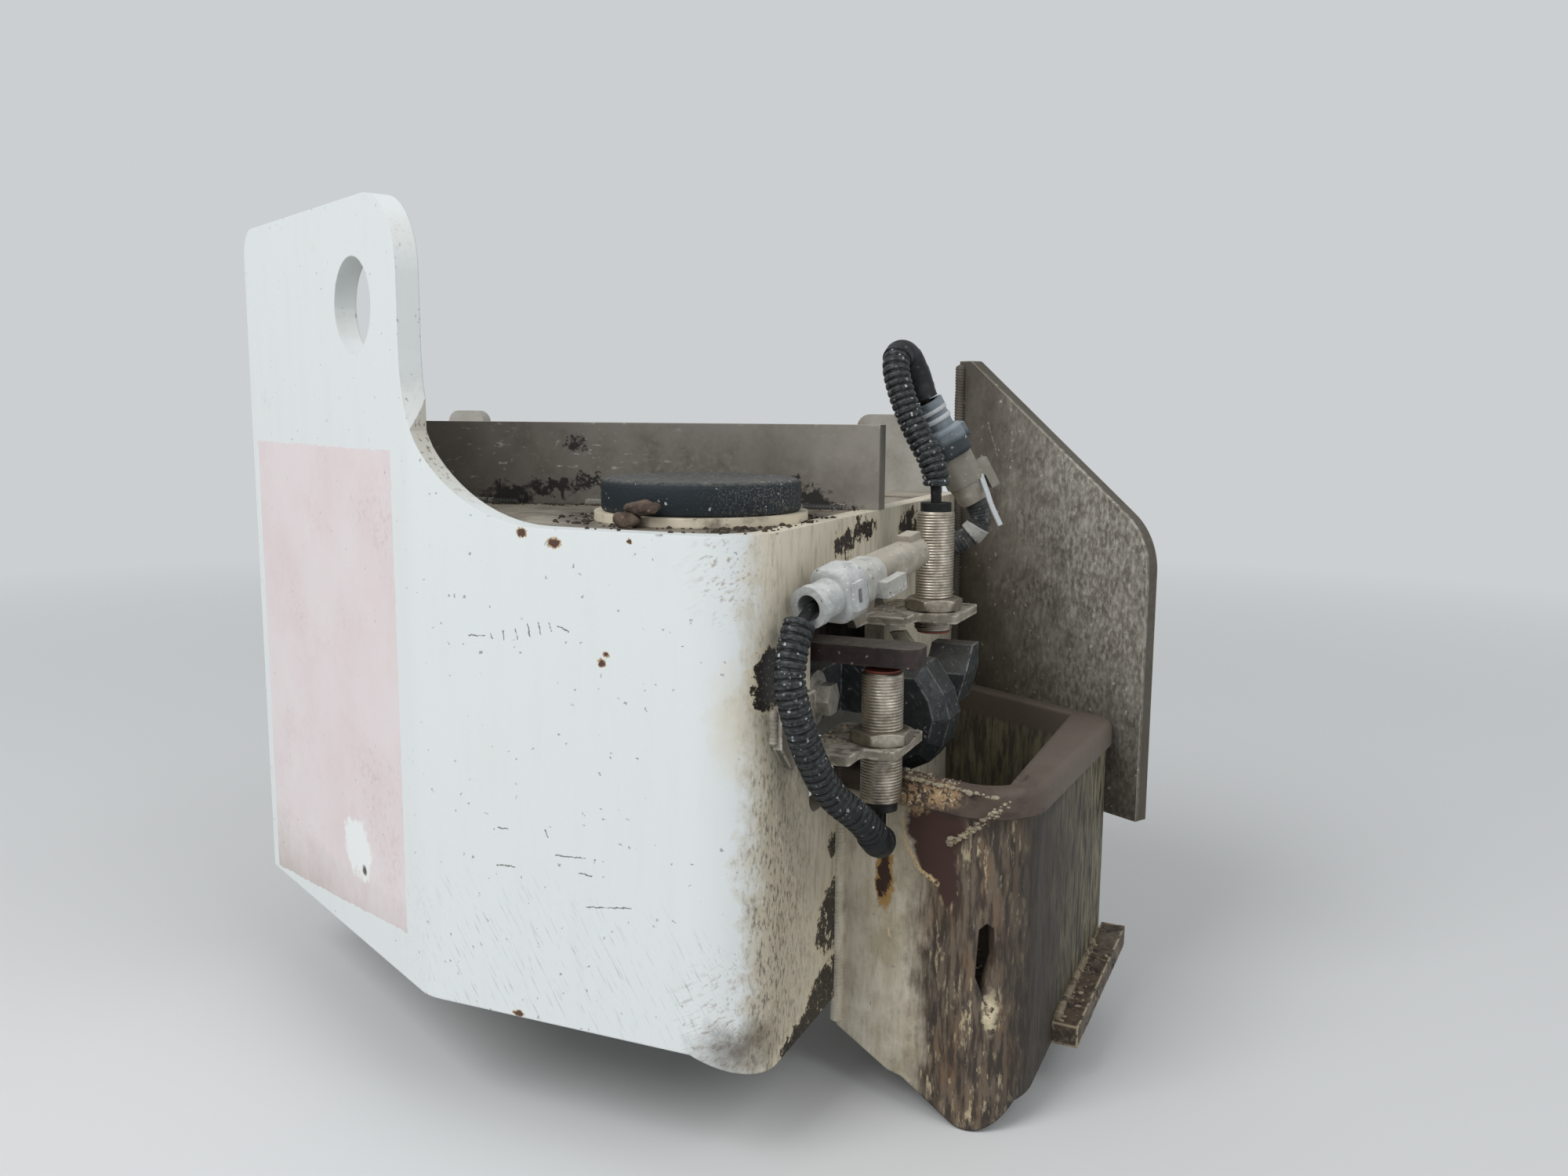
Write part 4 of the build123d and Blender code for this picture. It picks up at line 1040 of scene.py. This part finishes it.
def tie(name, at):
    """A band round the hood's neck with rounded edges."""
    half = TIE_WIDTH / 2
    shoulder = TIE_RADIUS - TIE_EDGE
    profile = [(-half, TIE_INNER), (-half, shoulder), (-half * 0.6, TIE_RADIUS)]
    profile += [(half * 0.6, TIE_RADIUS), (half, shoulder), (half, TIE_INNER)]
    skin(name, lathe(at, profile), tie_white, ends=False)


neck_turn = upper_axis.to_track_quat("Z", "Y").to_matrix().to_4x4()
for number, height in enumerate(TIE_HEIGHTS):
    neck = place(*(UPPER_LINK[0] + upper_axis * height))
    tie(f"neck_tie_{number}", Matrix.Translation(neck) @ neck_turn)
tail_rows = []
for at in frames_along(walk("tie_tail", TIE_TAIL), TAIL_STEP * MM):
    corners = [(x * TAIL_WIDTH / 2, y * TAIL_THICKNESS / 2) for x, y in ((1, 1), (-1, 1), (-1, -1), (1, -1))]
    tail_rows.append([at @ (Vector((x, y, 0)) * MM) for x, y in corners])
skin("tie_tail", tail_rows, tie_white, smooth=False)
print(len(TIE_HEIGHTS), "ties and one loose tail")

# %% [markdown]
# The bump pad is a turned disc of rubber: flat sides, a soft top edge and a slight dish.

# %% Rubber pad
PAD_PLACE = (-54, 68)
PAD_RADIUS = 43
PAD_HEIGHT = 14
SEAT_HEIGHT = 4
RISE_AND_INSET = [(0, 1.2), (0.8, 0.3), (1.6, 0)]
DROP_AND_INSET = [(3, 0), (1.4, 0.5), (0.4, 1.7), (0, 3.4), (0, 10), (0.5, 20), (0.8, 37)]
pad_profile = [(rise, PAD_RADIUS - inset) for rise, inset in RISE_AND_INSET]
pad_profile += [(PAD_HEIGHT - drop, PAD_RADIUS - inset) for drop, inset in DROP_AND_INSET]
pad_rows = lathe(upright(*PAD_PLACE, SEAT_HEIGHT), pad_profile, 96)
skin("bump_disc", pad_rows, pad_rubber, ["rubber_pad"])
print("pad", 2 * PAD_RADIUS, "mm across")

# %% [markdown]
# Plates that were welded show it: a bead is a thick rod whose radius ripples and wanders. It lies half
# sunk in the corner that it fills, so only its front shows.

# %% Weld beads
BEAD_STEP = 0.4
RIPPLE = 1.6
WELDS = [
    ("pocket_weld", (0.6, 96.6, -109), (0.6, 97, -233), 3.2, pocket_enamel),
    ("end_weld", (1, 283.2, 72), (1, 283.2, -106), 3, end_enamel),
    ("tab_weld_low", (0.2, 22, -69), (0.2, 22, -84), 2.2, shelf_enamel),
    ("tab_weld_high", (0.2, 96, -23), (0.2, 96, -38), 2.2, shelf_enamel),
    ("strap_weld_one", (-205, 95.4, 0.4), (-172, 103.6, 0.4), 2.6, strap_enamel),
    ("strap_weld_two", (-140, 111.6, 0.4), (-104, 120.6, 0.4), 2.6, strap_enamel),
    ("strap_weld_three", (-52, 133.6, 0.4), (-14, 143, 0.4), 2.6, strap_enamel),
    ("bar_weld", (94.3, 132, -229.6), (98.6, 205, -219.6), 2.4, bar_enamel),
]


def bead(name, start, end, radius, material, seed):
    """A rippled weld bead between two places."""
    chance = random.Random(seed)
    frames = frames_along([place(*start), place(*end)], BEAD_STEP * MM)
    rows = []
    sway = 0.0
    for number, at in enumerate(frames):
        sway = 0.9 * sway + chance.uniform(-0.05, 0.05) * radius
        ripple = abs(math.sin(math.pi * number * BEAD_STEP / RIPPLE))
        taper = min(1.0, 0.35 + number / 5, 0.35 + (len(frames) - 1 - number) / 5)
        rows.append(ring(at, radius * (0.86 + 0.14 * ripple) * taper + sway * 0.3, 14))
    skin(name, rows, material)


for number, (name, start, end, radius, material) in enumerate(WELDS):
    bead(name, start, end, radius, material, number)
print(len(WELDS), "weld beads")

# %% [markdown]
# A film label covers most of the left section. Only the film is made: its print has faded away. It is a
# thin sheet with a few bubbles, an uneven rim and one corner torn to its white backing.

# %% Label film
LEFT_TURN = math.radians(28)
BEND_ACROSS = -154
FILM_ALONG = (20.5, 198)
FILM_TOP = 28.5
FILM_BOTTOM = (-186, -206)
FILM_CELLS = 60
FILM_LIFT = 0.12
FILM_RIM_LIFT = 0.01
FILM_RAGGED = 0.5
BUBBLE_HEIGHT = 0.12


def on_left(along_it, height, out):
    """A place on the left section's outer face, out millimetres off it."""
    across = BEND_ACROSS - along_it * math.cos(LEFT_TURN) - out * math.sin(LEFT_TURN)
    return place(across, along_it * math.sin(LEFT_TURN) - out * math.cos(LEFT_TURN), height)


def film_wear(tree):
    """A pink haze, dirt along the lower edge, and one corner torn to the white backing."""
    torn = blots(tree, [((-222, 36, -162), (20, 14, 14))], ragged=7, soft=0.12)
    chip = blots(tree, [((-215, 33, -171), (2.4, 6, 2.4))], ragged=0.8, grain=3)
    return [
        (spread(tree, 45, 0.35, 0.7, seed=31), 0.5, "#DBC8CB"),
        (slope(tree, (-240, 0, -170), (-240, 0, -205), size=14, seed=33), 0.5, "#A59C8D"),
        (torn, 1, "#EEF0EF"),
        (chip, 1, "#54463C"),
    ]


chance = random.Random(5)
film_points = []
film_faces = []
for row in range(FILM_CELLS + 1):
    down = row / FILM_CELLS
    for column in range(FILM_CELLS + 1):
        share = column / FILM_CELLS
        border = row in (0, FILM_CELLS) or column in (0, FILM_CELLS)
        low = FILM_BOTTOM[0] + (FILM_BOTTOM[1] - FILM_BOTTOM[0]) * share
        ragged = chance.uniform(-FILM_RAGGED, FILM_RAGGED) if border else 0.0
        bubble = BUBBLE_HEIGHT * max(0.0, math.sin(9 * share + 2) * math.sin(13 * down + 1)) ** 2
        lift = FILM_RIM_LIFT if border else FILM_LIFT + bubble
        along_it = FILM_ALONG[0] + (FILM_ALONG[1] - FILM_ALONG[0]) * share + ragged
        film_points.append(on_left(along_it, FILM_TOP + (low - FILM_TOP) * down + ragged, lift))
for row in range(FILM_CELLS):
    for column in range(FILM_CELLS):
        at = row * (FILM_CELLS + 1) + column
        film_faces.append((at + FILM_CELLS + 1, at + FILM_CELLS + 2, at + 1, at))
film_mesh = bpy.data.meshes.new("label_film")
film_mesh.from_pydata(film_points, [], film_faces)
for face in film_mesh.polygons:
    face.use_smooth = True
film_finish = enamel("faded_label_film", "#E5DCDD", "#DCCFD0", 0.5, 0.9, 30, more=film_wear, fleck=0.25)
wear("label_film", film_mesh, film_finish)
print("film", round(FILM_ALONG[1] - FILM_ALONG[0]), "mm wide")

# %% [markdown]
# Dirt gathers where nothing wipes it: round the pad, along the strap plate's foot, on the pocket's rim
# and floor, and on the shelves. Each crumb is a small lump with its own size and squash.

# %% Crumbs of dirt
CRUMB_LOW = 0.5
CRUMB_HIGH = 1.7
COUNTS = {
    "pad": 190, "right": 150, "strap": 150, "rim": 70, "tip": 80,
    "edge": 60, "bar": 60, "floor": 260, "shelf": 60,
}
ON_DECK = 0.2
DECK_RIGHT = -4
DECK_FRONT = 3
SEAT_ROUND = 46.4
ROUND_PAD = (46.6, 66)
RIGHT_PLACE = (-17, 52)
RIGHT_REACH = (15, 44)
STRAP_DEPTH = 147
STRAP_SLOPE = 0.2493
RIM_HEIGHT = -108
TIP_ACROSS = 57
TIP_RUN = 27
TIP_SLOPE = (70 - 79) / (84 - 57)
FLOOR_HEIGHT = -215.8
SHELVES = ((34, 63, 99, LOWER_DEPTH, LOWER_SHELF), (38, 137, 173, UPPER_DEPTH, UPPER_SHELF))
NUT_ROOM = 15.5
CLODS = [(-62, 17.2, 3.2), (-55.5, 18.6, 8.2)]
CLOD_SIZES = (5.4, 6.4)


def lumps(name, spots, material, seed, small=CRUMB_LOW, large=CRUMB_HIGH, detail=1):
    """Many crumbs in one mesh, the same on every run; each spot is a place where a crumb rests."""
    chance = random.Random(seed)
    noise.seed_set(seed)
    mesh = bmesh.new()
    for spot in spots:
        size = small + (large - small) * chance.random() ** 3
        turn = Matrix.Rotation(chance.uniform(0, math.tau), 4, "Z")
        squash = Vector((chance.uniform(0.8, 1.5), chance.uniform(0.7, 1.1), chance.uniform(0.45, 0.8), 1))
        at = Matrix.Translation(place(*spot)) @ turn @ Matrix.Diagonal(squash)
        made = bmesh.ops.create_icosphere(mesh, subdivisions=detail, radius=size * MM, matrix=at)
        for vertex in made["verts"]:
            push = noise.noise_vector(vertex.co / (size * MM) * 1.4) * size * MM
            vertex.co += push * 0.3
    data = bpy.data.meshes.new(name)
    mesh.to_mesh(data)
    mesh.free()
    wear(name, data, material)
    return len(spots)


def near(chance, low, high):
    """A chance value that crowds towards low."""
    return low + (high - low) * chance.random() ** 2


chance = random.Random(11)
pad_spots = []
for number in range(COUNTS["pad"]):
    angle = chance.uniform(0, math.tau)
    reach = near(chance, *ROUND_PAD)
    away = (reach * math.cos(angle), reach * math.sin(angle))
    pad_spots.append((PAD_PLACE[0] + away[0], PAD_PLACE[1] + away[1], ON_DECK))
for number in range(COUNTS["right"]):
    angle = chance.uniform(0, math.tau)
    reach = chance.random() ** 0.7
    across = RIGHT_PLACE[0] + RIGHT_REACH[0] * reach * math.cos(angle)
    depth = RIGHT_PLACE[1] + RIGHT_REACH[1] * reach * math.sin(angle)
    if math.hypot(across - PAD_PLACE[0], depth - PAD_PLACE[1]) >= SEAT_ROUND:
        pad_spots.append((across, depth, ON_DECK))
pad_spots = [
    (across, depth, height) for across, depth, height in pad_spots
    if across < DECK_RIGHT and DECK_FRONT < depth < STRAP_DEPTH - 4 + across / 4
]
strap_spots = []
for number in range(COUNTS["strap"]):
    across = chance.uniform(-205, -6)
    strap_spots.append((across, STRAP_DEPTH + across * STRAP_SLOPE - near(chance, 0.4, 9), ON_DECK))
pocket_spots = []
for number in range(COUNTS["rim"]):
    share = chance.random()
    pocket_spots.append((2 + 60 * share, 101.5 - 20 * share - chance.uniform(-3, 3), RIM_HEIGHT))
for number in range(COUNTS["tip"]):
    share = chance.random()
    across = TIP_ACROSS + TIP_RUN * share + chance.uniform(-1.2, 1.2)
    depth = 78.2 + TIP_SLOPE * (across - TIP_ACROSS)
    pocket_spots.append((across, depth, -134 + 24 * share + chance.uniform(-1.2, 1.2)))
for number in range(COUNTS["edge"]):
    across = near(chance, 36, 80)
    pocket_spots.append((across, 95.6 - 0.334 * across - chance.uniform(-1, 1.5), RIM_HEIGHT - 0.6))
for number in range(COUNTS["bar"]):
    share = chance.random()
    pocket_spots.append((94 + 5 * share + near(chance, 1, 9), 132 + 70 * share, -229.8 + 9.6 * share))
for number in range(COUNTS["floor"]):
    across = near(chance, 3, 78)
    pocket_spots.append((across, chance.uniform(104, 232 - 0.3 * across), FLOOR_HEIGHT))
for number in range(COUNTS["shelf"]):
    for right, start, end, middle, height in SHELVES:
        across = near(chance, 1.5, right)
        depth = chance.uniform(start, end)
        if math.hypot(across - SENSOR_ACROSS, depth - middle) > NUT_ROOM:
            pocket_spots.append((across, depth, height))
dry_dirt = moulding("dried_road_dirt", "#8A7E6A", "#C9BFA9", 0.35, 0.7, 0.85, 40, grit=0.4, relief=0.2)
dark_dirt = moulding("oily_dirt", "#3A322A", "#6F6454", 0.45, 0.8, 0.8, 41, grit=0.2, relief=0.2)
clod_dirt = moulding("brown_clods", "#4E4039", "#8B7C6C", 0.4, 0.7, 0.9, 42, grit=0.2, relief=0.4)
total = lumps("pad_clods", CLODS, clod_dirt, 3, *CLOD_SIZES, 3)
total += lumps("deck_crumbs", pad_spots + strap_spots, dark_dirt, 1)
total += lumps("pocket_crumbs", pocket_spots, dry_dirt, 2)
print(total, "crumbs")
